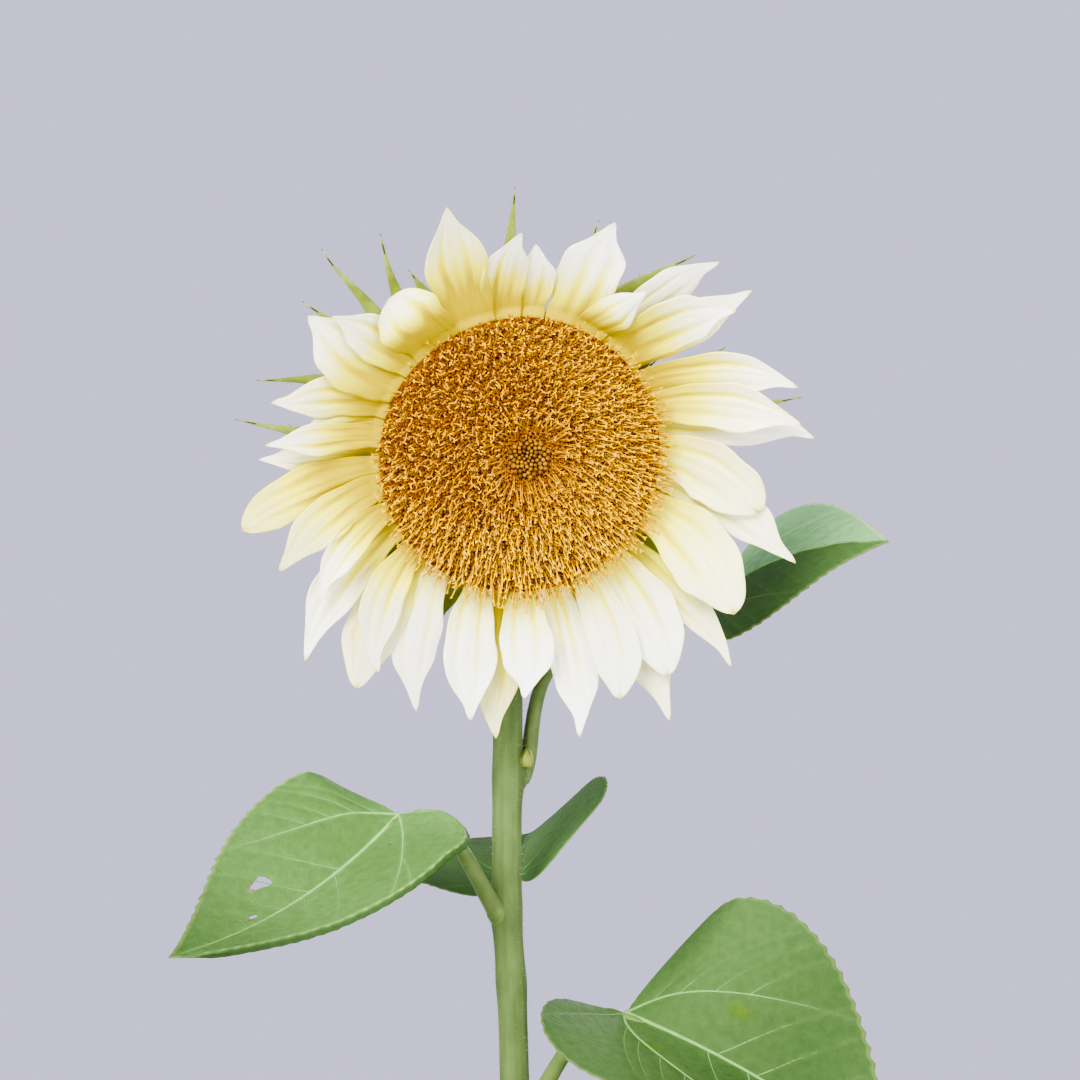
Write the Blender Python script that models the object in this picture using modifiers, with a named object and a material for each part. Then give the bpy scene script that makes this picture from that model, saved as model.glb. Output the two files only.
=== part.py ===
"""Sunflower plant: one rooted stem, heart-shaped leaves and a nodding pale flower.

Metres, +Z up.  The origin is the centre of the flat cut at ground level, and the
flower faces -Y.  Every leaf, every ray floret ("petal"), the seed disc, the green
calyx, the axillary bud and the stem is its own closed solid.  Neighbours that meet
keep JOIN_GAP between them.
"""
import math
from typing import NamedTuple

import bmesh
import bpy
from mathutils import Matrix, Vector

MM = 0.001
JOIN_GAP = 0.3 * MM
WELD = 1e-6

# ---------------------------------------------------------------- driving sizes

# Stem axis from the ground cut to the back of the flower: x, y, z, radius.
STEM_ROUTE_MM = [
    (0.0, 0.0, 0.0, 13.5),
    (0.0, 0.0, 14.0, 11.4),
    (0.6, 0.3, 45.0, 9.6),
    (2.4, 1.2, 130.0, 8.9),
    (7.0, 3.0, 330.0, 8.2),
    (9.0, 2.0, 560.0, 7.0),
    (6.0, 0.5, 800.0, 5.6),
    (2.4, 0.0, 1030.0, 4.4),
    (0.0, 1.0, 1088.0, 4.4),
    (0.2, 3.0, 1137.0, 4.7),
    (0.0, 5.0, 1178.0, 4.9),
    (-0.6, 3.0, 1208.0, 5.0),
    (-1.3, -6.5, 1228.5, 5.2),
    (-1.4, -20.0, 1233.0, 5.6),
    (-0.6, -31.5, 1229.9, 6.2),
]
STEM_STEPS = 3
NECK_RADIUS = 7.0 * MM
NECK_STRAIGHT = 2.0 * MM

# Flower: the centre of the seed disc's rim, and the way the flower looks.
HEAD_CENTRE = Vector((4.2, -65.0, 1220.0)) * MM
HEAD_YAW = math.radians(8.0)
HEAD_NOD = math.radians(16.0)

DISC_SEAT_RADIUS = 38.4 * MM
DISC_RADIUS = 41.4 * MM
DISC_CROWN = 9.5 * MM
DISC_RIM_HEIGHT = -0.5 * MM
DISC_SEAT_HEIGHT = -7.0 * MM

# Ray florets lie in six shingled layers, 0 in front.
RAY_ROOT_RADIUS = DISC_SEAT_RADIUS + JOIN_GAP + 0.1 * MM
RAY_FRONT_HEIGHT = -2.0 * MM
RAY_LAYER_AT_ROOT = 0.9 * MM
RAY_LAYER_AT_TIP = 2.1 * MM
RAY_THICKNESS = 0.52 * MM
RAY_WIDEST = 0.52
RAY_CLAW = 0.36
RAY_CUP = 0.16
BOWL_START = 42.0 * MM
BOWL_END = 80.0 * MM
BOWL_LIFT = 12.5 * MM
BOWL_LIFT_MORE_ABOVE = 9.0 * MM

CALYX_DEPTH = 26.0 * MM
BRACT_THICKNESS = 0.8 * MM

# Leaves.
LEAF_THICKNESS_RATIO = 1.0 / 88.0
HEART_POINT = 0.25
HEART_POINT_ANGLE = math.radians(14.0)
HEART_OPEN = 168.0
HEART_CLOSE_SHARPNESS = 8
HEART_LEAST_REACH = 0.075
LEAF_HINGE = 0.05
LEAF_DROOP = 0.12
LEAF_TWIST_START = 0.22
LEAF_TWIST_SPAN = 0.36
HEART_FULLNESS = 0.8

# Leaves below the upper four: each size is its least value and what it gains in the
# largest leaves of the middle of the stem.
LOWER_LEAVES = 14
LOWER_LEAF_SPACING = 66.0 * MM
LOWER_LEAF_FIRST_TURN = math.radians(-35.0)
GOLDEN_ANGLE = math.radians(137.5)
LOWER_PETIOLE_LENGTH = (42.0 * MM, 58.0 * MM)
LOWER_PETIOLE_RADIUS = (1.9 * MM, 1.1 * MM)
LOWER_BLADE_LENGTH = (80.0 * MM, 110.0 * MM)
LOWER_BLADE_WIDTH_RATIO = 0.94
# Petiole climb and blade droop in degrees: at the top leaf, and their change to the bottom one.
LOWER_PETIOLE_CLIMB = (38.0, -22.0)
LOWER_BLADE_DROOP = (-8.0, -26.0)


class Ray(NamedTuple):
    """A ray floret: clock angles in degrees, sizes in millimetres, layer, forward puff."""
    root_angle: float
    tip_angle: float
    reach: float
    width: float
    layer: int
    puff: float = 0.0


RAYS = [
    Ray(115, 110, 78.0, 17.5, 1), Ray(101, 96, 68.5, 13.5, 2), Ray(88, 88, 61.5, 12.0, 4),
    Ray(72, 73, 72.5, 17.0, 3), Ray(63, 56, 58.5, 11.5, 0, 5.0), Ray(53, 49, 78.0, 12.5, 4),
    Ray(47, 39, 73.0, 16.5, 1), Ray(42, 39, 79.0, 12.5, 3), Ray(29, 17, 80.0, 13.5, 2),
    Ray(20, 9, 78.5, 14.0, 0), Ray(11, 6, 83.0, 13.5, 4), Ray(0, -13, 70.0, 17.5, 1),
    Ray(-9, -22, 85.0, 14.0, 3), Ray(-23, -36, 75.5, 19.5, 0), Ray(-40, -43, 86.5, 10.0, 4),
    Ray(-48, -55, 80.0, 17.0, 2), Ray(-55, -59, 90.0, 14.0, 5), Ray(-60, -66, 77.0, 14.0, 1),
    Ray(-73, -76, 84.0, 13.5, 3), Ray(-86, -86, 71.5, 15.5, 0), Ray(-93, -92, 82.0, 13.0, 5),
    Ray(-104, -97, 79.5, 15.5, 2), Ray(-121, -109, 81.0, 13.0, 3), Ray(-132, -122, 79.5, 15.5, 4),
    Ray(-136, -122, 73.0, 12.5, 1), Ray(-147, -135, 82.5, 14.5, 3), Ray(-156, -144, 69.5, 9.5, 0),
    Ray(-166, -155, 74.0, 13.0, 2), Ray(-173, -166, 80.0, 14.0, 3), Ray(-179, -180, 73.5, 10.0, 5),
    Ray(-187, -184, 72.5, 9.5, 1), Ray(-194, -184, 63.5, 8.5, 4), Ray(-201, -192, 71.5, 13.5, 3),
    Ray(-211, -215, 74.0, 21.0, 2), Ray(-220, -218, 69.0, 13.0, 1), Ray(-231, -228, 61.0, 16.5, 0, 7.0),
]


class Bract(NamedTuple):
    """A calyx bract: clock angles in degrees, sizes in millimetres, row (0 is nearest the rays)."""
    root_angle: float
    tip_angle: float
    reach: float
    width: float
    row: int


UPPER_BRACTS = [
    Bract(10, 10, 82.5, 10.0, 1), Bract(25, 26, 65.0, 11.0, 0), Bract(38, 37, 64.0, 11.0, 1),
    Bract(62, 50, 74.0, 11.0, 2), Bract(72, 72, 68.0, 11.0, 0), Bract(94, 93, 74.0, 8.5, 1),
    Bract(99, 98, 55.0, 10.0, 0), Bract(115, 117, 56.0, 11.0, 1), Bract(121, 122, 59.0, 11.0, 0),
    Bract(128, 123, 73.5, 11.0, 2), Bract(132, 135, 80.5, 11.0, 1), Bract(146, 146, 73.0, 10.0, 2),
    Bract(156, 165, 74.5, 11.0, 1), Bract(171, 174, 79.5, 11.0, 2),
]
LOWER_BRACTS = 13
LOWER_BRACT_FIRST = -4.0
LOWER_BRACT_TURN = -13.5
BRACT_ROW_SEATS = [(35.0 * MM, -9.2 * MM), (31.0 * MM, -12.2 * MM), (25.0 * MM, -15.6 * MM)]


class Leaf(NamedTuple):
    """A leaf: height of its node on the stem, joint of petiole and blade, tip, blade width (all
    metres), roll about the midrib and fold of each half (at the base, at the tip), arch, petiole
    radius, the angle at which each side's outline closes, and the petiole's knee: how far along
    it is, and how far it is lifted."""
    node_height: float
    joint: Vector
    tip: Vector
    width: float
    roll: tuple
    fold: tuple
    arch: float
    petiole_radius: float
    opening: tuple = (math.radians(HEART_OPEN), math.radians(HEART_OPEN))
    knee: tuple = (0.5, 0.13)


def leaf_mm(node_height, joint, tip, width, roll, fold, arch, petiole_radius,
            opening=(HEART_OPEN, HEART_OPEN), knee=(0.5, 0.13)):
    """A leaf given in millimetres and degrees."""
    return Leaf(node_height * MM, Vector(joint) * MM, Vector(tip) * MM, width * MM,
                tuple(map(math.radians, roll)), tuple(map(math.radians, fold)),
                arch, petiole_radius * MM, tuple(map(math.radians, opening)), knee)


UPPER_LEAVES = [
    leaf_mm(1127, (59, 46, 1175), (114, 8, 1196), 83, (19, 34), (-14, 0), 0.09, 1.9,
            (64, 168), (0.35, 0.28)),
    leaf_mm(1088, (-31, -28, 1117), (-93, -78, 1081), 72, (6, -24), (-31, 25), -0.07, 2.0,
            (89, 115), (0.45, 0.18)),
    leaf_mm(1066, (3, 37, 1094), (8, 111, 1101), 73, (-21, -23), (26, 23), 0.06, 1.8),
    leaf_mm(1024, (34, -49, 1062), (110, -82, 1020), 101, (-5, 41), (-2, 37), 0.04, 2.1,
            (168, 89)),
]

# ------------------------------------------------------------------- small tools


def smooth_route(points, steps):
    """Points on a Catmull-Rom curve through the given tuples, of any length."""
    route = []
    last = len(points) - 1
    for index in range(last):
        around = [points[max(0, min(last, index + shift))] for shift in (-1, 0, 1, 2)]
        for step in range(steps):
            t = step / steps
            weights = (
                (-t + 2 * t * t - t ** 3) / 2,
                (2 - 5 * t * t + 3 * t ** 3) / 2,
                (t + 4 * t * t - 3 * t ** 3) / 2,
                (t ** 3 - t * t) / 2,
            )
            route.append(tuple(
                sum(weight * value for weight, value in zip(weights, values))
                for values in zip(*around)
            ))
    route.append(tuple(points[-1]))
    return route


def make_material(name, colour, roughness):
    material = bpy.data.materials.new(name)
    material.use_nodes = True
    shader = material.node_tree.nodes["Principled BSDF"]
    shader.inputs["Base Color"].default_value = (*colour, 1.0)
    shader.inputs["Roughness"].default_value = roughness
    shader.inputs["Metallic"].default_value = 0.0
    material.diffuse_color = (*colour, 1.0)
    return material


def add_object(name, data, material):
    thing = bpy.data.objects.new(name, data)
    plant.objects.link(thing)
    data.materials.append(material)
    return thing


def bake_modifiers(thing):
    """Replace an object's data by its evaluated mesh and drop its modifiers."""
    bpy.context.view_layer.update()
    evaluated = thing.evaluated_get(bpy.context.evaluated_depsgraph_get())
    mesh = bpy.data.meshes.new_from_object(evaluated)
    thing.modifiers.clear()
    thing.data = mesh


def tube(name, route, bevel_resolution, material):
    """A tapering closed tube through (x, y, z, radius) points, with welded caps."""
    curve = bpy.data.curves.new(name, "CURVE")
    curve.dimensions = "3D"
    curve.bevel_depth = 1.0
    curve.bevel_resolution = bevel_resolution
    curve.use_fill_caps = True
    spline = curve.splines.new("POLY")
    spline.points.add(len(route) - 1)
    for point, (x, y, z, radius) in zip(spline.points, route):
        point.co = (x, y, z, 1.0)
        point.radius = radius
    guide = add_object(name + ".route", curve, material)
    bpy.context.view_layer.update()
    evaluated = guide.evaluated_get(bpy.context.evaluated_depsgraph_get())
    mesh = bpy.data.meshes.new_from_object(evaluated)
    bpy.data.objects.remove(guide)
    bm = bmesh.new()
    bm.from_mesh(mesh)
    bmesh.ops.remove_doubles(bm, verts=bm.verts, dist=WELD)
    bmesh.ops.recalc_face_normals(bm, faces=bm.faces)
    bm.to_mesh(mesh)
    bm.free()
    mesh.name = name
    return add_object(name, mesh, material)


def sheet(name, columns, rows, place, thickness, material):
    """A grid whose point (u, v), each 0 to 1, is put where place(u, v) says, made solid."""
    bm = bmesh.new()
    bmesh.ops.create_grid(bm, x_segments=columns, y_segments=rows, size=0.5)
    for vert in bm.verts:
        vert.co = place(vert.co.x + 0.5, vert.co.y + 0.5)
    bmesh.ops.remove_doubles(bm, verts=bm.verts, dist=WELD)
    mesh = bpy.data.meshes.new(name)
    bm.to_mesh(mesh)
    bm.free()
    thing = add_object(name, mesh, material)
    solid = thing.modifiers.new("Solidify", "SOLIDIFY")
    solid.thickness = thickness
    solid.offset = 0.0
    return thing


def turned(name, profile, steps, material):
    """A turned solid about Z.  The profile of (radius, height) runs down its outer side."""
    mesh = bpy.data.meshes.new(name)
    verts = [(radius, 0.0, height) for radius, height in profile]
    mesh.from_pydata(verts, [(i, i + 1) for i in range(len(verts) - 1)], [])
    thing = add_object(name, mesh, material)
    screw = thing.modifiers.new("Screw", "SCREW")
    screw.steps = steps
    screw.render_steps = steps
    screw.use_merge_vertices = True
    screw.merge_threshold = WELD
    return thing


def fuse(target, others):
    """Join the others into the target with one Boolean union, then remove them."""
    joined = bpy.data.collections.new(target.name + ".joined")
    bpy.context.scene.collection.children.link(joined)
    for other in others:
        joined.objects.link(other)
        plant.objects.unlink(other)
    union = target.modifiers.new("Union", "BOOLEAN")
    union.operation = "UNION"
    union.operand_type = "COLLECTION"
    union.collection = joined
    bake_modifiers(target)
    for other in others:
        bpy.data.objects.remove(other)
    bpy.data.collections.remove(joined)


# ------------------------------------------------------------------------- stem


def stem_route():
    """Smooth stem axis: upright out of the ground cut, then on to the flower's own axis."""
    back = HEAD_FRAME @ Vector((0.0, 0.0, -CALYX_DEPTH - JOIN_GAP))
    below = HEAD_FRAME @ Vector((0.0, 0.0, -CALYX_DEPTH - JOIN_GAP - NECK_STRAIGHT))
    route = [tuple(value * MM for value in point) for point in STEM_ROUTE_MM]
    upper = smooth_route(route[1:] + [(*below, NECK_RADIUS)], STEM_STEPS)
    return route[:1] + upper + [(*back, NECK_RADIUS)]


def stem_at(height):
    """Centre and radius of the upright part of the stem at a height."""
    for low, high in zip(STEM_AXIS, STEM_AXIS[1:]):
        if low[2] <= height <= high[2]:
            t = (height - low[2]) / (high[2] - low[2])
            mixed = [a + (b - a) * t for a, b in zip(low, high)]
            return Vector(mixed[:3]), mixed[3]
    raise ValueError("height is above the upright part of the stem")


def make_stem():
    return tube("stem", STEM_AXIS, 3, materials["stem"])


# ----------------------------------------------------------------------- leaves


def heart_radius(angle):
    """Outline of a blade, as a distance from the petiole joint for a midrib of 1."""
    round_body = (1.0 - HEART_POINT) * (1.0 - abs(angle) / math.pi) ** HEART_FULLNESS
    return round_body + HEART_POINT * math.exp(-abs(angle) / HEART_POINT_ANGLE)


def blade_reach(leaf, angle):
    """Outline of a leaf's own blade: each side comes in to the joint at its opening angle."""
    share = abs(angle) / (leaf.opening[1] if angle > 0.0 else leaf.opening[0])
    closing = math.sqrt(1.0 - min(1.0, share) ** HEART_CLOSE_SHARPNESS)
    return max(heart_radius(angle) * closing, HEART_LEAST_REACH)


HEART_HALF_WIDTH = max(heart_radius(math.radians(a)) * math.sin(math.radians(a)) for a in range(180))


def leaf_frame(leaf):
    """Joint at the origin, +X along the midrib to the tip, +Z out of the upper face."""
    along = (leaf.tip - leaf.joint).normalized()
    side = Vector((0.0, 0.0, 1.0)).cross(along).normalized()
    up = along.cross(side)
    frame = Matrix((along, side, up)).transposed().to_4x4()
    frame.translation = leaf.joint
    return frame


def blade_point(leaf, along, across):
    """A point of the blade: along the midrib and across it, both in midrib lengths."""
    toward_tip = min(1.0, max(0.0, (along + LEAF_TWIST_START) / LEAF_TWIST_SPAN))
    toward_tip *= toward_tip * (3.0 - 2.0 * toward_tip)
    roll = leaf.roll[0] + (leaf.roll[1] - leaf.roll[0]) * toward_tip
    fold = leaf.fold[0] + (leaf.fold[1] - leaf.fold[0]) * toward_tip
    raised = math.hypot(across, LEAF_HINGE) - LEAF_HINGE
    y = across * math.cos(fold)
    z = raised * math.sin(fold) - LEAF_DROOP * across * across
    bow = leaf.arch * 4.0 * along * (1.0 - along)
    rolled = Matrix.Rotation(roll, 3, "X") @ Vector((along, y, z)) + Vector((0.0, 0.0, bow))
    return rolled * (leaf.tip - leaf.joint).length


def make_leaf(name, leaf):
    length = (leaf.tip - leaf.joint).length
    widen = leaf.width / length / (2.0 * HEART_HALF_WIDTH)

    def place(u, v):
        turn = 2.0 * v - 1.0
        opening = leaf.opening[1] if turn > 0.0 else leaf.opening[0]
        angle = opening * math.copysign(abs(turn) ** 1.5, turn)
        reach = u * blade_reach(leaf, angle)
        return blade_point(leaf, reach * math.cos(angle), reach * math.sin(angle) * widen)

    blade = sheet(name, 3, 16, place, length * LEAF_THICKNESS_RATIO, materials["leaf"])
    frame = leaf_frame(leaf)
    to_leaf = frame.inverted()

    centre, radius = stem_at(leaf.node_height)
    outward = leaf.joint - centre
    outward.z = 0.0
    outward.normalize()
    seat = centre + outward * (radius + JOIN_GAP)
    elbow = seat + outward * 3.0 * MM
    rise = (leaf.joint - elbow).length
    share, lift = leaf.knee
    middle = elbow.lerp(leaf.joint, share) + Vector((0.0, 0.0, lift * rise))
    thick = leaf.petiole_radius
    under = frame @ Vector((0.0, 0.0, -0.5 * thick))
    sink = frame @ (blade_point(leaf, 0.07, 0.0) - Vector((0.0, 0.0, 0.25 * thick)))
    stations = [(elbow, thick * 1.15), (middle, thick), (under, thick * 0.85), (sink, thick * 0.5)]
    route = [(*(to_leaf @ seat), thick * 1.25)]
    route += smooth_route([(*(to_leaf @ point), size) for point, size in stations], 2)
    petiole = tube(name + ".petiole", route, 1, materials["leaf"])
    fuse(blade, [petiole])
    blade.matrix_world = frame
    return blade


def ranged(least_and_gain, share):
    return least_and_gain[0] + least_and_gain[1] * share


def lower_leaf(rank):
    """The rank-th leaf down the stem below the upper ones, on the golden-angle spiral."""
    down = rank / (LOWER_LEAVES - 1)
    fullness = math.sin(math.pi * (0.25 + 0.65 * down))
    height = UPPER_LEAVES[-1].node_height - LOWER_LEAF_SPACING * (rank + 1)
    turn = LOWER_LEAF_FIRST_TURN - GOLDEN_ANGLE * (rank + 1)
    outward = Vector((math.cos(turn), math.sin(turn), 0.0))
    upright = Vector((0.0, 0.0, 1.0))
    petiole = ranged(LOWER_PETIOLE_LENGTH, fullness)
    climb = math.radians(ranged(LOWER_PETIOLE_CLIMB, down))
    length = ranged(LOWER_BLADE_LENGTH, fullness)
    droop = math.radians(ranged(LOWER_BLADE_DROOP, down))
    centre, _radius = stem_at(height)
    joint = centre + petiole * (outward * math.cos(climb) + upright * math.sin(climb))
    tip = joint + length * (outward * math.cos(droop) + upright * math.sin(droop))
    roll = math.radians(9.0 * math.sin(2.3 * rank))
    fold = math.radians(-14.0), math.radians(12.0 + 5.0 * math.sin(1.7 * rank))
    arch = 0.07 + 0.02 * math.sin(1.1 * rank)
    return Leaf(height, joint, tip, length * LOWER_BLADE_WIDTH_RATIO, (roll, roll), fold, arch,
                ranged(LOWER_PETIOLE_RADIUS, fullness))


def make_leaves():
    leaves = UPPER_LEAVES + [lower_leaf(rank) for rank in range(LOWER_LEAVES)]
    for number, leaf in enumerate(leaves, 1):
        make_leaf(f"leaf_{number:02d}", leaf)


# ------------------------------------------------------------------- flower head


def head_frame():
    """The flower's own frame: +X across, +Y up its face, +Z out of its face."""
    out = Vector((
        math.sin(HEAD_YAW) * math.cos(HEAD_NOD),
        -math.cos(HEAD_YAW) * math.cos(HEAD_NOD),
        -math.sin(HEAD_NOD),
    ))
    across = Vector((math.cos(HEAD_YAW), math.sin(HEAD_YAW), 0.0))
    frame = Matrix((across, out.cross(across), out)).transposed().to_4x4()
    frame.translation = HEAD_CENTRE
    return frame


HEAD_FRAME = head_frame()
STEM_AXIS = stem_route()


def bowl_height(x, y):
    """How far the rays' common bowl stands forward; it is deepest at the flower's top."""
    reach = math.hypot(x, y)
    s = max(0.0, (reach - BOWL_START) / (BOWL_END - BOWL_START))
    lift = BOWL_LIFT + BOWL_LIFT_MORE_ABOVE * y / reach
    return lift * s * (1.5 - 0.5 * s)


def bent_midline(root_radius, root_angle, tip_radius, tip_angle, t):
    """Point and unit side direction at t on a midline that leaves its root radially."""
    start = Vector((math.cos(root_angle), math.sin(root_angle))) * root_radius
    end = Vector((math.cos(tip_angle), math.sin(tip_angle))) * tip_radius
    knee = start.normalized() * (0.5 * (root_radius + tip_radius))
    point = start * (1 - t) ** 2 + knee * 2 * t * (1 - t) + end * t * t
    tangent = (knee - start) * (1 - t) + (end - knee) * t
    tangent.normalize()
    return point, Vector((-tangent.y, tangent.x))


def ray_half_width(ray, t):
    """Narrow claw, broad middle, drawn-out tip."""
    if t < RAY_WIDEST:
        grow = math.sin(0.5 * math.pi * t / RAY_WIDEST) ** 1.4
        shape = RAY_CLAW + (1.0 - RAY_CLAW) * grow
    else:
        shape = (1.0 - ((t - RAY_WIDEST) / (1.0 - RAY_WIDEST)) ** 2.1) ** 0.85
    return max(0.5 * ray.width * MM * shape, 0.6 * MM)


def ray_point(ray, t, v):
    """Point of a ray floret, t along it from 0 to 1 and v across it from -1 to 1."""
    middle, side = bent_midline(
        RAY_ROOT_RADIUS, math.radians(ray.root_angle),
        ray.reach * MM, math.radians(ray.tip_angle), t)
    half = ray_half_width(ray, t)
    x, y = middle + side * (v * half)
    s = min(1.0, max(0.0, (math.hypot(x, y) - RAY_ROOT_RADIUS) / (BOWL_END - RAY_ROOT_RADIUS)))
    spacing = RAY_LAYER_AT_ROOT + (RAY_LAYER_AT_TIP - RAY_LAYER_AT_ROOT) * s
    cup = RAY_CUP * (1.0 - ray.layer / 2.5) * half * v * v * math.sin(math.pi * t)
    puff = ray.puff * MM * math.sin(math.pi * t) ** 2 * (1.0 - 0.6 * v * v)
    height = RAY_FRONT_HEIGHT + bowl_height(x, y) - spacing * ray.layer + cup + puff
    return Vector((x, y, height))


def make_rays(head):
    for number, ray in enumerate(RAYS, 1):
        floret = sheet(
            f"ray_{number:02d}", 6, 4,
            lambda u, v, ray=ray: ray_point(ray, u ** 1.35, 2.0 * v - 1.0),
            RAY_THICKNESS, materials["ray"])
        floret.parent = head


def make_disc(head):
    dome = [
        (0.0, DISC_CROWN * 0.93), (9.0 * MM, DISC_CROWN), (19.0 * MM, DISC_CROWN * 0.95),
        (28.0 * MM, DISC_CROWN * 0.78), (35.0 * MM, DISC_CROWN * 0.54),
        (39.6 * MM, DISC_CROWN * 0.28), (DISC_RADIUS, 0.9 * MM), (DISC_RADIUS - 0.8 * MM, DISC_RIM_HEIGHT),
        (DISC_SEAT_RADIUS, DISC_RIM_HEIGHT), (DISC_SEAT_RADIUS, DISC_SEAT_HEIGHT), (0.0, DISC_SEAT_HEIGHT),
    ]
    disc = turned("seed_disc", dome, 30, materials["disc"])
    disc.parent = head


def bract_point(bract, t, v):
    """Point of a bract: broad at its root in the calyx, with a long drawn-out tip."""
    seat_radius, seat_height = BRACT_ROW_SEATS[bract.row]
    middle, side = bent_midline(
        seat_radius, math.radians(bract.root_angle),
        bract.reach * MM, math.radians(bract.tip_angle), t)
    half = max(0.5 * bract.width * MM * (1.0 - t) ** 1.25 * (1.0 + 0.9 * t), 0.35 * MM)
    x, y = middle + side * (v * half)
    lean_back = 2.5 * MM * t * t * (1.0 - 0.5 * y / math.hypot(x, y))
    rise = (1.0 - (1.0 - t) ** 2) * (-9.6 * MM - seat_height)
    return Vector((x, y, seat_height + rise - lean_back - 0.12 * half * v * v))


def all_bracts():
    lower = []
    for rank in range(LOWER_BRACTS):
        angle = LOWER_BRACT_FIRST + LOWER_BRACT_TURN * rank
        reach = 65.0 + 3.0 * math.sin(2.4 * rank)
        lower.append(Bract(angle, angle, reach, 11.0, rank % 3))
    return UPPER_BRACTS + lower


def make_calyx(head):
    cup = [
        (0.0, DISC_SEAT_HEIGHT - JOIN_GAP), (38.6 * MM, DISC_SEAT_HEIGHT - JOIN_GAP),
        (38.2 * MM, -8.6 * MM), (35.0 * MM, -12.5 * MM), (28.5 * MM, -17.0 * MM),
        (19.5 * MM, -21.5 * MM), (11.0 * MM, -24.6 * MM), (7.6 * MM, -CALYX_DEPTH), (0.0, -CALYX_DEPTH),
    ]
    calyx = turned("calyx", cup, 24, materials["calyx"])
    bracts = []
    for number, bract in enumerate(all_bracts(), 1):
        blade = sheet(
            f"bract_{number:02d}", 4, 2,
            lambda u, v, bract=bract: bract_point(bract, u, 2.0 * v - 1.0),
            BRACT_THICKNESS, materials["calyx"])
        bracts.append(blade)
    fuse(calyx, bracts)
    calyx.parent = head


def make_bud():
    """A small closed bud in the angle between the stem and the uppermost petiole."""
    height = UPPER_LEAVES[0].node_height + 6.5 * MM
    centre, radius = stem_at(height)
    shape = [(0.0, 4.6 * MM), (0.9 * MM, 3.6 * MM), (1.9 * MM, 1.2 * MM), (2.0 * MM, -0.6 * MM),
             (1.2 * MM, -2.6 * MM), (0.0, -3.2 * MM)]
    bud = turned("axillary_bud", shape, 10, materials["calyx"])
    bud.location = centre + Vector((radius + JOIN_GAP + 2.0 * MM, 0.0, 0.0))


# --------------------------------------------------------------------- assembly

for old in list(bpy.data.objects):
    bpy.data.objects.remove(old)

plant = bpy.data.collections.new("sunflower_plant")
bpy.context.scene.collection.children.link(plant)

materials = {
    "stem": make_material("stem_green", (0.24, 0.36, 0.10), 0.6),
    "leaf": make_material("leaf_green", (0.13, 0.27, 0.07), 0.55),
    "calyx": make_material("calyx_green", (0.25, 0.42, 0.08), 0.6),
    "disc": make_material("disc_gold", (0.55, 0.27, 0.04), 0.8),
    "ray": make_material("ray_cream", (0.88, 0.86, 0.74), 0.6),
}

flower = bpy.data.objects.new("flower_frame", None)
plant.objects.link(flower)
flower.matrix_world = HEAD_FRAME

make_stem()
make_leaves()
make_calyx(flower)
make_disc(flower)
make_rays(flower)
make_bud()
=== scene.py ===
import math
from typing import NamedTuple

import bpy
import numpy as np
from mathutils import Matrix, Vector


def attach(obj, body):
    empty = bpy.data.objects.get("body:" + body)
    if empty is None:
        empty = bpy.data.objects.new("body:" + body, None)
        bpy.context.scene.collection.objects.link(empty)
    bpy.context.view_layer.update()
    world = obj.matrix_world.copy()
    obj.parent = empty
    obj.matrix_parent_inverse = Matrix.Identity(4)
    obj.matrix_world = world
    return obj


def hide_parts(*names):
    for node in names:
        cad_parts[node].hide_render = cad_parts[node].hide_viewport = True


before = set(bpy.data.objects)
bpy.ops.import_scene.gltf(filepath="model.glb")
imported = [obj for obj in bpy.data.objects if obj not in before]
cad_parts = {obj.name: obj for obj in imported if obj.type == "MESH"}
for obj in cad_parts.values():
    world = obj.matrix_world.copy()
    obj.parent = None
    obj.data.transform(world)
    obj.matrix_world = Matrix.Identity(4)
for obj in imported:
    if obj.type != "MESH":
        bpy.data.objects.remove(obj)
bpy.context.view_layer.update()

# A rooted sunflower plant: ridged hairy stem, heart-shaped leaves, a pale nodding flower.
# Metres, +Z up, flower facing -Y.

MM = 0.001
FULL_TURN = 2 * math.pi
GOLDEN_ANGLE = math.radians(137.508)
UP = Vector((0, 0, 1))
rng = np.random.default_rng(41)

# ---- driving sizes

# Stem axis from the ground cut to the back of the flower: x, y, z, radius.
STEM_ROUTE_MM = [
    (0, 0, 0, 13.5), (0, 0, 14, 11.4), (0.6, 0.3, 45, 9.6),
    (2.4, 1.2, 130, 8.9), (7, 3, 330, 8.2), (9, 2, 560, 7),
    (6, 0.5, 800, 5.6), (2.4, 0, 1030, 4.4), (0, 1, 1088, 4.4),
    (0.2, 3, 1137, 4.4), (0, 5, 1178, 4.5), (-0.6, 3, 1208, 4.8),
    (-1.3, -6.5, 1228.5, 5.2), (-1.4, -20, 1233, 5.6), (-0.6, -31.5, 1229.9, 6.2),
]
STEM_STEPS = 14
STEM_STATION = 2 * MM
STEM_SEGMENTS = 45
NECK_RADIUS = 7 * MM
STEM_RIDGES = 15
STEM_RIDGE_HEIGHT = 0.035 * MM
STEM_TINTS = (0.066, 0.104, 0.028), (0.082, 0.126, 0.036)
STEM_FOOT_TINT = (0.154, 0.132, 0.069)
STEM_HAIRS = 6500
PETIOLE_HAIRS = 3600
HAIR_RADIUS = 0.05 * MM
STEM_HAIR_RADIUS = 0.045 * MM
STEM_HAIR_LENGTHS_MM = (0.8, 2.1)
PETIOLE_HAIR_LENGTHS_MM = (0.6, 1.5)
BRACT_HAIR_LENGTHS_MM = (0.7, 1.9)

HEAD_CENTRE = Vector((4.2, -65, 1220)) * MM
HEAD_YAW = math.radians(8)
HEAD_NOD = math.radians(16)
DISC_SEAT_RADIUS = 38.4 * MM
DISC_RADIUS = 41.4 * MM
DISC_CROWN = 9.5 * MM
CALYX_DEPTH = 26 * MM

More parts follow.
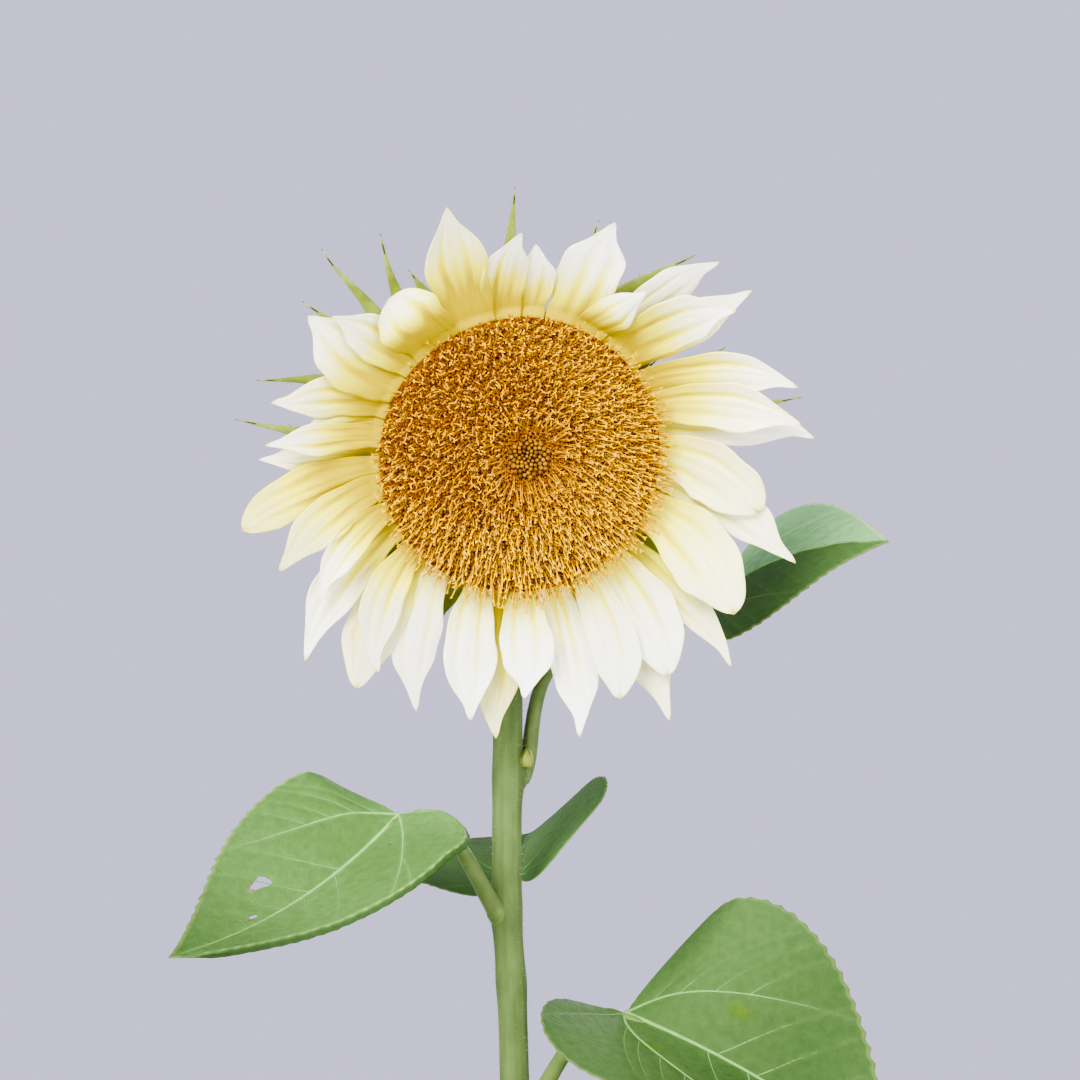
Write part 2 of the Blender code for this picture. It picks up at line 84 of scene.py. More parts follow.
RAY_ROOT_RADIUS = DISC_SEAT_RADIUS + 0.4 * MM
RAY_FRONT_HEIGHT = -2 * MM
RAY_LAYER_AT_ROOT = 0.9 * MM
RAY_LAYER_AT_TIP = 2.1 * MM
RAY_THICKNESS = 0.22 * MM
RAY_GRID = (46, 25)
RAY_WIDEST = 0.52
RAY_CLAW = 0.72
RAY_CUP = 0.16
RAY_GROOVE = 1.05 * MM
RAY_PLEAT = 0.04 * MM
RAY_WAVE = 0.35 * MM
RAY_ROOT_LAP = 2 * MM
RAY_BITE = 4 * MM
BOWL_START = 42 * MM
BOWL_END = 80 * MM
BOWL_LIFT = 12.5 * MM
BOWL_LIFT_MORE_ABOVE = 9 * MM
CREAMS = (0.96, 0.95, 0.86), (0.95, 0.91, 0.51)
PALE_YELLOW = (0.80, 0.71, 0.035)
DEEP_YELLOW = (0.44, 0.335, 0)
DRY_TIP_TINT = (0.64, 0.48, 0.10)

HEART_POINT = 0.25
HEART_POINT_ANGLE = math.radians(14)
HEART_CLOSE_SHARPNESS = 8
HEART_LEAST_REACH = 0.075
HEART_FULLNESS = 0.8
FULL_OPENING = (168, 168)
PLAIN_KNEE = (0.5, 0.13)
LEAF_HINGE = 0.05
LEAF_DROOP = 0.12
LEAF_TWIST_START = 0.22
LEAF_TWIST_SPAN = 0.36
LEAF_THICKNESS = 0.35 * MM
TEETH_IN_MIDRIB = 21
FINE_LEAF_GRID = (38, 221)
PLAIN_LEAF_GRID = (18, 101)
ANGLE_SPREAD = 1.5
VEIN_REST = math.radians(14)
VEIN_PROUD = 0.12 * MM
BLADE_TINTS = (0.053, 0.112, 0.028), (0.080, 0.159, 0.044)
BESIDE_VEIN_TINT = (0.095, 0.185, 0.055)
# Painted highlight along a leaf's margin.
PAINTED_MARGIN_HIGHLIGHT = (0.171, 0.250, 0.069)
# Painted highlight on the crest of a rolled margin.
PAINTED_CREST_HIGHLIGHT = (0.165, 0.26, 0.085)
# Painted sheen, added on the left half of a leaf whose painted light there is strong.
PAINTED_SHEEN_TINT = (0.018, 0.036, 0.083)
SCORCHED_TINT = (0.170, 0.125, 0.080)
SPOT_TINT = (0.051, 0.088, 0.006)
VEIN_TINT = (0.070, 0.138, 0.042)
LOWER_LEAVES = 14
LOWER_LEAF_SPACING = 66 * MM
LOWER_LEAF_FIRST_TURN = math.radians(-35)
LOWER_LEAF_TURN = math.radians(137.5)
LOWER_PETIOLE_LENGTH = (42 * MM, 58 * MM)
LOWER_PETIOLE_RADIUS = (1.9 * MM, 1.1 * MM)
LOWER_BLADE_LENGTH = (80 * MM, 110 * MM)
LOWER_BLADE_WIDTH_RATIO = 0.94
LOWER_PETIOLE_CLIMB = (38, -22)
LOWER_BLADE_DROOP = (-8, -26)

# The picture is PICTURE_WIDTH pixels wide, and a pixel is PIXEL long at the flower.
PICTURE_WIDTH = 1080
PIXEL = 0.28 * MM
CAMERA_DISTANCE = 1.10
CAMERA_PLACE = (0.0098, -1.165, 1.19648)
SENSOR_WIDTH = 36
LIT_POINT = Vector((0, -0.05, 1.15))
FLOOR_RADIUS = 7
FLOOR_HEIGHT = -0.5 * MM
FLOOR_SEGMENTS = 96
SKY_COLOUR = (0.73, 0.70, 0.95, 1)
DAYLIGHT = (1, 0.99, 0.96)


class Ray(NamedTuple):
    """A ray floret: clock angles in degrees, millimetres, layer, yellow at its base, curl of its
    tip, bite out of its tip (negative: only blunt), puff forward, warmth of its cream and painted shade
    on it."""
    root_angle: float
    tip_angle: float
    reach: float
    width: float
    layer: int
    gold: float
    tip_curl: float
    notch: float = 0
    puff: float = 0
    warm: float = 0.15
    painted_shade: float = 0


RAYS = [
    Ray(111, 109, 78, 17, 1, 1.4, 1.5, warm=0.45, painted_shade=0.2),
    Ray(99, 93.5, 66, 13.5, 2, 1.3, 0.5, painted_shade=0.1),
    Ray(88, 88, 61.5, 12, 4, 1.1, 0), Ray(72, 73, 72.5, 17, 3, 0.8, 1),
    Ray(63, 56, 58.5, 11.5, 0, 1.2, 0, 0, 5), Ray(53, 49, 78, 12.5, 4, 0.5, 0.5, painted_shade=0.2),
    Ray(47, 39, 73, 16.5, 1, 1.2, -0.5), Ray(42, 39, 79, 12.5, 3, 1.1, 3),
    Ray(29, 17, 80, 13.5, 2, 1.2, 0), Ray(20, 9, 78.5, 14, 0, 0.9, -1, warm=0.5),
    Ray(11, 6, 83, 13.5, 4, 0.5, 2.5), Ray(0, -13, 70, 17.5, 1, 0.6, -1.5, 0.5, warm=1),
    Ray(-9, -22, 85, 14, 3, 0.5, 0, warm=0.7), Ray(-23, -36, 77.2, 19.5, 0, 0.7, -1, 0.3, warm=1),
    Ray(-40, -43.7, 90.5, 10, 4, 0.9, 0, warm=0.8), Ray(-48, -55, 80, 17, 2, 0.6, -1, 0.3),
    Ray(-55, -59.2, 94, 14, 5, 0.5, 0, warm=0.7), Ray(-60, -65.5, 79, 14, 1, 0.5, -1, 0.3, painted_shade=0.1),
    Ray(-73, -75.2, 87, 13.5, 3, 0.5, 1), Ray(-86, -86, 71.5, 15.5, 0, 0.6, -0.5),
    Ray(-93, -92.5, 86.5, 15.5, 5, 1.2, 0, warm=0.9, painted_shade=0.2),
    Ray(-104, -97, 79.5, 15.5, 2, 0.5, -0.5), Ray(-121, -109, 81, 13, 3, 0.4, 0, painted_shade=0.25),
    Ray(-132, -121.5, 82.5, 15.5, 4, 0.9, -1, 0.3, warm=0.6, painted_shade=0.15),
    Ray(-136, -121.8, 75, 12.5, 1, 0.9, -0.5, painted_shade=0.25), Ray(-147, -134.5, 84.5, 14, 3, 0.9, 0.5),
    Ray(-156, -144, 70, 9.5, 0, 1.2, 0),
    Ray(-166, -153.8, 74.3, 12.5, 1, 1.3, 0, 0.1, warm=0.8, painted_shade=0.3),
    Ray(-173, -165.5, 80.6, 14, 3, 1.7, 0.5, 0.4, warm=1.3, painted_shade=0.15),
    Ray(-179, -178.6, 73, 10, 5, 1.3, 0), Ray(-187, -183.6, 72, 9.5, 1, 1.4, 0.5),
    Ray(-194, -184, 63.5, 8.5, 4, 1.3, 0, painted_shade=0.15), Ray(-201, -192, 71.5, 13.5, 3, 1.4, 1, warm=0.5),
    Ray(-211, -215, 74, 21, 2, 1.3, 0.5, warm=0.4),
    Ray(-220, -218, 69, 13, 1, 1.2, 1, warm=0.3, painted_shade=0.1),
    Ray(-232, -229.5, 61, 19.5, 0, 1.8, 0, -0.4, 6),
]


class Bract(NamedTuple):
    """A calyx bract: clock angles in degrees, millimetres, row (0 nearest the rays), tip hook."""
    root_angle: float
    tip_angle: float
    reach: float
    width: float
    row: int
    hook: float = 0


UPPER_BRACTS = [
    Bract(10, 10, 82.5, 10, 1), Bract(25, 26, 65, 11, 0), Bract(38, 37, 64, 11, 1),
    Bract(62, 50, 74, 11, 2, -1.5), Bract(72, 72, 68, 11, 0), Bract(94, 93, 74, 8.5, 1, -1),
    Bract(99, 98, 55, 10, 0), Bract(115, 117, 56, 11, 1, 1.5), Bract(121, 122, 59, 11, 0),
    Bract(135, 123.5, 72, 9, 2), Bract(140, 132.5, 78, 7, 1, 3.5), Bract(146, 146, 73, 10, 2),
    Bract(158, 164.5, 75.5, 8.5, 1, 1.5), Bract(178, 175.5, 79, 8.5, 2, -1),
]
LOWER_BRACTS = 13
LOWER_BRACT_FIRST = -4
LOWER_BRACT_TURN = -13.5
BACK_BRACTS = 21
BRACTS_BETWEEN_RAYS = (-12, -37, -70, -102, -112)
# Each row of bracts: radius and height where it leaves the calyx, height it rises to, hairs on each.
BRACT_ROWS = [(35, -9.2, -9.6, 70), (31, -12.2, -9.6, 70), (25, -15.6, -9.6, 70), (15, -21.6, -15, 30)]
BRACT_THICKNESS = 0.45 * MM
BRACT_GRID = (26, 9)
BRACT_TIP_RADII = np.array([0.26, 0.28, 0.28, 0.26, 0.23, 0.20, 0.15, 0.03]) * MM
CALYX_CUP_MM = [
    (38.4, -7.3), (38.2, -8.6), (35, -12.5), (28.5, -17), (19.5, -21.5), (11, -24.6), (7.4, -26.2),
]
CALYX_COLUMNS = 120
BUD_SCALES = 7
BUD_GRID = (12, 7)
BUD_THICKNESS = 0.25 * MM


class Leaf(NamedTuple):
    """A leaf: node height, petiole joint, tip, width (metres), roll and fold (base, tip), arch,
    petiole radius, closing angle of each side, and the petiole's knee (share, lift)."""
    node_height: float
    joint: Vector
    tip: Vector
    width: float
    roll: tuple
    fold: tuple
    arch: float
    petiole_radius: float
    opening: tuple = tuple(map(math.radians, FULL_OPENING))
    knee: tuple = PLAIN_KNEE


def leaf_mm(node_height, joint, tip, width, roll, fold, arch, petiole_radius,
            opening=FULL_OPENING, knee=PLAIN_KNEE):
    """A leaf given in millimetres and degrees."""
    return Leaf(node_height * MM, Vector(joint) * MM, Vector(tip) * MM, width * MM,
                tuple(map(math.radians, roll)), tuple(map(math.radians, fold)),
                arch, petiole_radius * MM, tuple(map(math.radians, opening)), knee)


UPPER_LEAVES = [
    leaf_mm(1127, (59, 46, 1175), (114, 8, 1196), 83, (19, 34), (-14, 0), 0.09, 1.9,
            (64, 168), (0.18, 0.29)),
    leaf_mm(1088, (-31, -28, 1117), (-93, -78, 1081), 72, (6, -24), (-31, 25), -0.07, 2,
            (89, 115), (0.45, 0.18)),
    leaf_mm(1066, (3, 37, 1094), (8, 111, 1101), 73, (-21, -23), (26, 23), 0.06, 1.8),
    leaf_mm(1024, (34, -49, 1062), (110, -82, 1020), 101, (-5, 41), (-2, 37), 0.04, 2.1,
            (168, 92.5)),
]
# Painted light and shade on each leaf, as factors on its tint: left of its midrib (from the joint),
# right of it, at its tip and in its veins.
LEAF_PAINTED_LIGHT = {1: (2.10, 0.74, 1, 0.8), 2: (1.27, 1.08, 0.60, 1.10), 3: (0.52, 0.90, 1, 0.8),
              4: (0.58, 0.60, 1.05, 1.8)}
PLAIN_PAINTED_LIGHT = (0.95, 0.95, 1, 1.2)
# Angle and bend of the strong side vein right of the midrib and left of it.
BASAL_VEINS = {2: ((70, 6), (56, 1.3))}
PLAIN_BASAL_VEINS = ((70, 6), (70, 6))
# Eaten holes and pale spots: leaf number, (along, across, half length, half width) in midribs.
LEAF_HOLES = {2: [(0.535, -0.130, 0.040, 0.022), (0.643, -0.035, 0.016, 0.009),
                  (0.118, 0.084, 0.010, 0.007)]}
LEAF_SPOTS = {4: [(0.31, 0.165, 0.055, 0.035), (0.16, -0.15, 0.05, 0.03)]}
ROLLED_LEAVES = (2,)

# The disc's dome: distance from its middle and share of its crown.
DISC_PROFILE_MM = [
    (0, 0.93), (9, 1), (19, 0.95), (28, 0.78), (35, 0.54), (39.6, 0.28), (41, 0.10),
]
DISC_BED_RADIUS = 39.6 * MM
DISC_BED_SINK = 1.9 * MM
DISC_BED_GRID = (34, 96)
FLORETS = 2050
FLORETS_RADIUS = 40.6 * MM
FLORET_CROWDING = 0.56
FLORET_SINK = 1.2 * MM
CLOSED_RADIUS = 5.9 * MM
INNER_RADIUS = 19 * MM
WHORL_SHIFT = np.array((1.2, 1.9)) * MM
LOWER_RIGHT = np.array((0.5, -0.87))
RIM_PULL = 0.032
CLOSED_FLORET_STEPS = np.array([0, 0.6, 1.4, 2.1, 2.6, 2.85])
CLOSED_FLORET_SWELL = np.array([0.6, 0.95, 1.05, 0.85, 0.45, 0.05])
STYLE_RADII = np.array([0.15, 0.17, 0.19, 0.21, 0.13]) * MM
STIGMA_RADII = np.array([0.18, 0.18, 0.19, 0.20, 0.18, 0.09]) * MM
COROLLA_LOBES = 5

# ---- materials

RELIEF = 0.3 * MM
SCATTER = 1.2 * MM
NET_SCALE = 330
NET_BORDER = 0.16
RAMP_ENDS = (0.36, 0.64)


def set_inputs(material, node, inputs):
    """Set each named input of a node to a value, or link it to another node's output."""
    for name, value in inputs.items():
        if isinstance(value, bpy.types.NodeSocket):
            material.node_tree.links.new(value, node.inputs[name])
        else:
            node.inputs[name].default_value = value


def add(material, kind, inputs, **settings):
    """A new shader node with its settings and inputs."""
    node = material.node_tree.nodes.new("ShaderNode" + kind)
    for name, value in settings.items():
        setattr(node, name, value)
    set_inputs(material, node, inputs)
    return node


def new_material(name, roughness, gloss=0.2, subsurface=0, radius=(1, 1, 1)):
    material = bpy.data.materials.new(name)
    material.use_nodes = True
    inputs = {"Roughness": roughness, "Specular IOR Level": gloss}
    if subsurface:
        inputs["Subsurface Weight"] = subsurface
        inputs["Subsurface Radius"] = radius
        inputs["Subsurface Scale"] = SCATTER
    set_inputs(material, material.node_tree.nodes["Principled BSDF"], inputs)
    return material


def dress(material, colour, height, bump):
    """Give the material's shader a colour and a fine relief."""
    relief = add(material, "Bump", {"Height": height, "Strength": bump, "Distance": RELIEF})
    set_inputs(material, material.node_tree.nodes["Principled BSDF"],
               {"Base Color": colour, "Normal": relief.outputs["Normal"]})
    return material


def placed(material, stretch=(1, 1, 1), grain=False):
    """Coordinates for a texture: the plant's own frame, or the mesh's grain (along, across)."""
    if grain:
        place = add(material, "Attribute", {}, attribute_name="grain").outputs["Vector"]
    else:
        place = add(material, "TexCoord", {}).outputs["Object"]
    return add(material, "Mapping", {"Vector": place, "Scale": stretch}).outputs["Vector"]


def noise(material, scale, detail, *where):
    place = placed(material, *where)
    return add(material, "TexNoise", {"Vector": place, "Scale": scale, "Detail": detail}).outputs["Fac"]


def cells(material, low, high):
    """A net of small cells: low on the cells' borders, high inside them."""
    place = placed(material, grain=True)
    net = add(material, "TexVoronoi", {"Vector": place, "Scale": NET_SCALE}, feature="DISTANCE_TO_EDGE")
    spread = {"Value": net.outputs["Distance"], "From Max": NET_BORDER, "To Min": low, "To Max": high}
    return add(material, "MapRange", spread).outputs["Result"]


def scaled(material, colour, factor):
    inputs = {"Vector": colour, "Scale": factor}
    return add(material, "VectorMath", inputs, operation="SCALE").outputs["Vector"]


def varied(name, dark, light, scale, roughness, bump=0.25, **more):
    """A material whose colour wanders between two tones, with a fine relief."""
    material = new_material(name, roughness, **more)
    ramp = add(material, "ValToRGB", {"Fac": noise(material, scale, 3)})
    for element, position, tone in zip(ramp.color_ramp.elements, RAMP_ENDS, (dark, light)):
        element.position = position
        element.color = (*tone, 1)
    return dress(material, ramp.outputs["Color"], noise(material, scale * 4, 2), bump)


def tinted(name, roughness, scale, depth, bump, stretch=(1, 1, 1), grain=False, net=0, dim=1,
           **more):
    """The mesh's own tint, broken up by a fine grain and, on leaves, by a net of small veins."""
    material = new_material(name, roughness, **more)
    tint = add(material, "Attribute", {}, attribute_name="tint").outputs["Color"]
    spread = {"Value": noise(material, scale, 3, stretch, grain), "From Min": 0.3, "From Max": 0.7,
              "To Min": dim * (1 - depth), "To Max": dim * (1 + depth)}
    colour = scaled(material, tint, add(material, "MapRange", spread).outputs["Result"])
    if net:
        colour = scaled(material, colour, cells(material, 1 + net, 1))
        return dress(material, colour, cells(material, 0, 1), bump)
    return dress(material, colour, noise(material, scale * 3, 2, stretch, grain), bump)


MATERIALS = {
    "hair": varied("fine_hair", (0.171, 0.206, 0.119), (0.308, 0.323, 0.218), 300, 0.5, 0),
    "stem": tinted("stem_skin", 0.6, 300, 0.20, 0.3, stretch=(1, 1, 0.30),
                   subsurface=0.08, radius=(0.8, 1, 0.4), gloss=0.1),
    "vein": tinted("leaf_vein", 0.6, 300, 0.12, 0.2, gloss=0.03),
    "petiole": varied("petiole_skin", (0.074, 0.118, 0.026), (0.108, 0.158, 0.042), 160, 0.5, 0.3,
                      subsurface=0.08),
    "leaf_top": tinted("leaf_upper_side", 0.55, 330, 0.10, 0.2, grain=True, net=0.06, gloss=0.03),
    "leaf_under": tinted("leaf_lower_side", 0.7, 330, 0.10, 0.2, grain=True, net=0.05, dim=0.8,
                         gloss=0.02),
    "petal": tinted("petal_skin", 0.55, 900, 0.075, 0.3, stretch=(0.06, 1, 1), grain=True,
                    subsurface=0.35, radius=(1, 0.85, 0.45), gloss=0.1),
    "calyx": varied("calyx_skin", (0.062, 0.097, 0.016), (0.099, 0.140, 0.028), 150, 0.55, 0.3),
    "bract": varied("bract_skin", (0.125, 0.165, 0.018), (0.215, 0.270, 0.045), 170, 0.5, 0.3,
                    subsurface=0.12),
    "bract_tip": varied("bract_tip", (0.010, 0.007, 0.005), (0.035, 0.022, 0.012), 500, 0.6, 0.3),
    "floor": varied("floor_paper", (0.60, 0.60, 0.65), (0.63, 0.63, 0.68), 3, 0.9, 0),
}
# The disc's materials: dark and light tone, scale, roughness, relief, gloss. The inner ones also carry
# painted shade on the disc's left side.
DISC_LOOKS = {
    "disc_bed": ((0.052, 0.014, 0.002), (0.145, 0.046, 0.005), 900, 0.8, 0.5, 0.03),
    "closed_floret": ((0.090, 0.042, 0.006), (0.330, 0.155, 0.012), 420, 0.55, 0.4, 0.08),
    "corolla_inner": ((0.165, 0.054, 0.004), (0.325, 0.130, 0.007), 700, 0.6, 0.3, 0.03),
    "corolla_outer": ((0.205, 0.092, 0.005), (0.440, 0.215, 0.009), 700, 0.6, 0.3, 0.03),
    "style_inner": ((0.280, 0.122, 0.002), (0.510, 0.245, 0.004), 600, 0.55, 0.35, 0.02),
    "style_outer": ((0.430, 0.213, 0.001), (0.725, 0.418, 0.003), 600, 0.55, 0.35, 0.02),
    "stigma_inner": ((0.430, 0.205, 0.001), (0.780, 0.390, 0.003), 600, 0.6, 0.4, 0.02),
    "stigma_outer": ((0.620, 0.322, 0.001), (0.940, 0.550, 0.003), 600, 0.6, 0.4, 0.02),
}
for look, (*tones_and_grain, gloss) in DISC_LOOKS.items():
    MATERIALS[look] = varied(look, *tones_and_grain, gloss=gloss)

# ---- mesh helpers


def add_object(name, data, location=(0, 0, 0), rotation=(0, 0, 0)):
    thing = bpy.data.objects.new(name, data)
    thing.location = location
    thing.rotation_euler = rotation
    bpy.context.scene.collection.objects.link(thing)
    return thing


def moved(points, place):
    """Points taken from the frame of a place into the plant's own."""
    matrix = np.array(place)
    return points @ matrix[:3, :3].T + matrix[:3, 3]


def piece(name, verts, faces, looks, slot, tint=None, grain=None, place=None):
    """A mesh object from arrays, riding on the plant.  Its points are in the plant's own frame."""
    verts = np.asarray(verts, float).reshape(-1, 3)
    if place is not None:
        verts = moved(verts, place)
    mesh = bpy.data.meshes.new(name)
    mesh.from_pydata(verts.tolist(), [], faces if isinstance(faces, list) else faces.tolist())
    mesh.polygons.foreach_set("use_smooth", [True] * len(mesh.polygons))
    if tint is not None:
        colours = np.ones((len(mesh.vertices), 4))
        colours[:, :3] = np.clip(np.asarray(tint).reshape(-1, 3), 0, 1)
        layer = mesh.color_attributes.new("tint", "FLOAT_COLOR", "POINT")
        layer.data.foreach_set("color", colours.ravel())
    if grain is not None:
        layer = mesh.attributes.new("grain", "FLOAT_VECTOR", "POINT")
        layer.data.foreach_set("vector", np.asarray(grain, float).ravel())
    for look in looks:
        mesh.materials.append(MATERIALS[look])
    mesh.update()
    thing = add_object(name, mesh)
    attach(thing, "root")
    return thing


def solidify(thing, thickness, back_material=0):
    solid = thing.modifiers.new("Solidify", "SOLIDIFY")
    solid.thickness = thickness
    solid.offset = 0
    solid.material_offset = back_material


def grid_faces(rows, columns):
    """Quads of a grid of points, rows by columns."""
    index = np.arange(rows * columns).reshape(rows, columns)
    return np.stack([index[:-1, :-1], index[1:, :-1], index[1:, 1:], index[:-1, 1:]], -1).reshape(-1, 4)


def ring_faces(rows, columns):
    """Quads of rows of points that each close into a ring."""
    index = np.arange(rows * columns).reshape(rows, columns)
    around = np.roll(index, -1, axis=1)
    return np.stack([index[:-1], around[:-1], around[1:], index[1:]], -1).reshape(-1, 4)


def strip(rows, columns):
    """Shares along (0 to 1) and across (-1 to 1) a strip of points, rows by columns."""
    return np.meshgrid(np.linspace(0, 1, rows), np.linspace(-1, 1, columns), indexing="ij")


def revolved(radius, height, turn):
    """Points of a surface of revolution about +Z."""
    return np.stack(np.broadcast_arrays(radius * np.cos(turn), radius * np.sin(turn), height), -1)


def circle(segments):
    return FULL_TURN * np.arange(segments) / segments


def unit(vectors):
    return vectors / (np.linalg.norm(vectors, axis=-1, keepdims=True) + 1e-12)


def tubes(paths, radii, sides, helper):
    """Many tubes at once: paths (n, k, 3), radii (n, k), one helper direction for each."""
    paths = np.asarray(paths, float)
    count, steps, _ = paths.shape
    radii = np.broadcast_to(radii, (count, steps))
    tangent = unit(np.gradient(paths, axis=1))
    side = unit(np.cross(tangent, np.broadcast_to(helper, (count, 3))[:, None, :]))
    up = np.cross(side, tangent)
    turn = circle(sides)
    ring = side[:, :, None] * np.cos(turn)[:, None] + up[:, :, None] * np.sin(turn)[:, None]
    verts = paths[:, :, None] + ring * radii[:, :, None, None]
    starts = steps * sides * np.arange(count)[:, None, None]
    return verts.reshape(-1, 3), (ring_faces(steps, sides) + starts).reshape(-1, 4)


def join(parts):
    """Vertices and faces of several (verts, faces) parts as one."""
    verts, faces, start = [], [], 0
    for part_verts, part_faces in parts:
        verts.append(np.asarray(part_verts).reshape(-1, 3))
        faces.append(np.asarray(part_faces) + start)
        start += len(verts[-1])
    return np.concatenate(verts), np.concatenate(faces)


def hairs(name, roots, directions, lengths, thickness, slot, place=None):
    """Fine three-sided hairs that taper to a point and bend a little."""
    bend = rng.normal(0, 0.22, directions.shape)
    middle = roots + unit(directions + 0.5 * bend) * lengths[:, None] * 0.55
    tips = middle + unit(directions + 1.5 * bend) * lengths[:, None] * 0.45
    radii = np.array([1, 0.6, 0.05]) * thickness
    helper = unit(rng.normal(0, 1, directions.shape))
    piece(name, *tubes(np.stack([roots, middle, tips], axis=1), radii, 3, helper), ["hair"], slot,
          place=place)


def smooth_route(points, steps):
    """Points on a Catmull-Rom curve through the given tuples, of any length."""
    points = [np.asarray(point, float) for point in points]
    route = []
    last = len(points) - 1
    for index in range(last):
        a, b, c, d = (points[max(0, min(last, index + shift))] for shift in (-1, 0, 1, 2))
        for step in range(steps):
            t = step / steps
            route.append(0.5 * (2 * b + (c - a) * t + (2 * a - 5 * b + 4 * c - d) * t * t
                                + (3 * b - a - 3 * c + d) * t ** 3))
    route.append(points[-1])
    return np.array(route)


def smoothstep(low, high, value):
    t = np.clip((value - low) / (high - low), 0, 1)
    return t * t * (3 - 2 * t)


def bell(value, width):
    """1 where the value is 0, falling off on both sides over the given width."""
    return np.exp(-(value / width) ** 2)


def mix(first, second, share):
    share = np.asarray(share)[..., None]
    return np.asarray(first) * (1 - share) + np.asarray(second) * share


# ---- head frame


def head_frame():
    """The flower's own frame: +X across, +Y up its face, +Z out of its face."""
    out = Vector((
        math.sin(HEAD_YAW) * math.cos(HEAD_NOD),
        -math.cos(HEAD_YAW) * math.cos(HEAD_NOD),
        -math.sin(HEAD_NOD),
    ))
    across = Vector((math.cos(HEAD_YAW), math.sin(HEAD_YAW), 0))
    made = Matrix((across, out.cross(across), out)).transposed().to_4x4()
    made.translation = HEAD_CENTRE
    return made


HEAD_FRAME = head_frame()

# ---- stem


def stem_axis():
    """Smooth stem axis in metres: x, y, z, radius, from the ground cut to the calyx."""
    below = HEAD_FRAME @ Vector((0, 0, -CALYX_DEPTH - 2.3 * MM))
    back = HEAD_FRAME @ Vector((0, 0, -CALYX_DEPTH + 0.5 * MM))
    route = [tuple(value * MM for value in point) for point in STEM_ROUTE_MM]
    upper = smooth_route(route[1:] + [(*below, NECK_RADIUS)], STEM_STEPS)
    ground = smooth_route(route[:2], 5)[:-1]
    return np.concatenate([ground, upper, [(*back, NECK_RADIUS * 1.06)]])


STEM_AXIS = stem_axis()
UPRIGHT = STEM_AXIS[:int(np.argmax(STEM_AXIS[:, 2]))]


def stem_at(height):
    """Centre and radius of the upright part of the stem at a height."""
    x, y, radius = (np.interp(height, UPRIGHT[:, 2], UPRIGHT[:, column]) for column in (0, 1, 3))
    return Vector((x, y, height)), radius


def even_route(route, spacing):
    """The same route with stations a fixed distance apart, and each station's run."""
    steps = np.linalg.norm(np.diff(route[:, :3], axis=0), axis=1)
    run = np.concatenate([[0], np.cumsum(steps)])
    stations = np.linspace(0, run[-1], int(run[-1] / spacing) + 1)
    return np.stack([np.interp(stations, run, values) for values in route.T], -1), stations


def make_stem(leaves):
    """The ridged stem, swollen where each leaf leaves it, and its hairs."""
    route, run = even_route(STEM_AXIS, STEM_STATION)
    turn = circle(STEM_SEGMENTS)
    run = run[:, None]
    centre, radius = route[:, :3], route[:, 3:4]
    tangent = unit(np.gradient(centre, axis=0))
    side = unit(np.array((1, 0, 0)) - tangent * tangent[:, :1])
    up = np.cross(tangent, side)
    out = side[:, None] * np.cos(turn)[:, None] + up[:, None] * np.sin(turn)[:, None]
    ridge = np.cos(STEM_RIDGES * (turn + 1.5 * run)) + 0.6 * np.cos((STEM_RIDGES - 6) * turn + 2)
    swell = radius + STEM_RIDGE_HEIGHT * ridge * smoothstep(0, 0.02, run)
    upright = np.arange(len(route)) < np.argmax(route[:, 2])
    for leaf in leaves:
        way = math.atan2(leaf.joint.y, leaf.joint.x)
        near = bell(route[:, 2] - leaf.node_height + 1 * MM, 5.5 * MM) * upright
        facing = np.exp(2.2 * (np.cos(turn - way) - 1))
        swell = swell + near[:, None] * radius * (0.06 + 0.20 * facing)
    verts = centre[:, None] + out * swell[..., None]
    verts[0, :, 2] = 0
    lit = smoothstep(-0.9, 0.9, ridge * 0.2 + 0.3 * np.sin(9 * turn + 31 * run))
    lowest = np.broadcast_to(smoothstep(0.5, 0, run) * 0.35, lit.shape)
    tint = mix(mix(*STEM_TINTS, lit), STEM_FOOT_TINT, lowest)
    foot = list(reversed(range(STEM_SEGMENTS)))
    faces = ring_faces(len(route), STEM_SEGMENTS).tolist() + [foot]
    stem = piece("stem_skin", verts, faces, ["stem"], "stem_green", tint=tint)
    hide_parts("stem")

    rows = rng.integers(8, len(route) - 2, STEM_HAIRS)
    columns = rng.integers(0, STEM_SEGMENTS, STEM_HAIRS)
    roots = verts[rows, columns] - out[rows, columns] * 0.1 * MM
    ways = out[rows, columns] + rng.normal(0, 0.18, (STEM_HAIRS, 3)) + tangent[rows] * 0.15
    lengths = rng.uniform(*STEM_HAIR_LENGTHS_MM, STEM_HAIRS) * MM
    hairs("stem_hairs", roots, unit(ways), lengths, STEM_HAIR_RADIUS, "stem_green")


# ---- leaves


def ranged(least_and_gain, share):
    return least_and_gain[0] + least_and_gain[1] * share


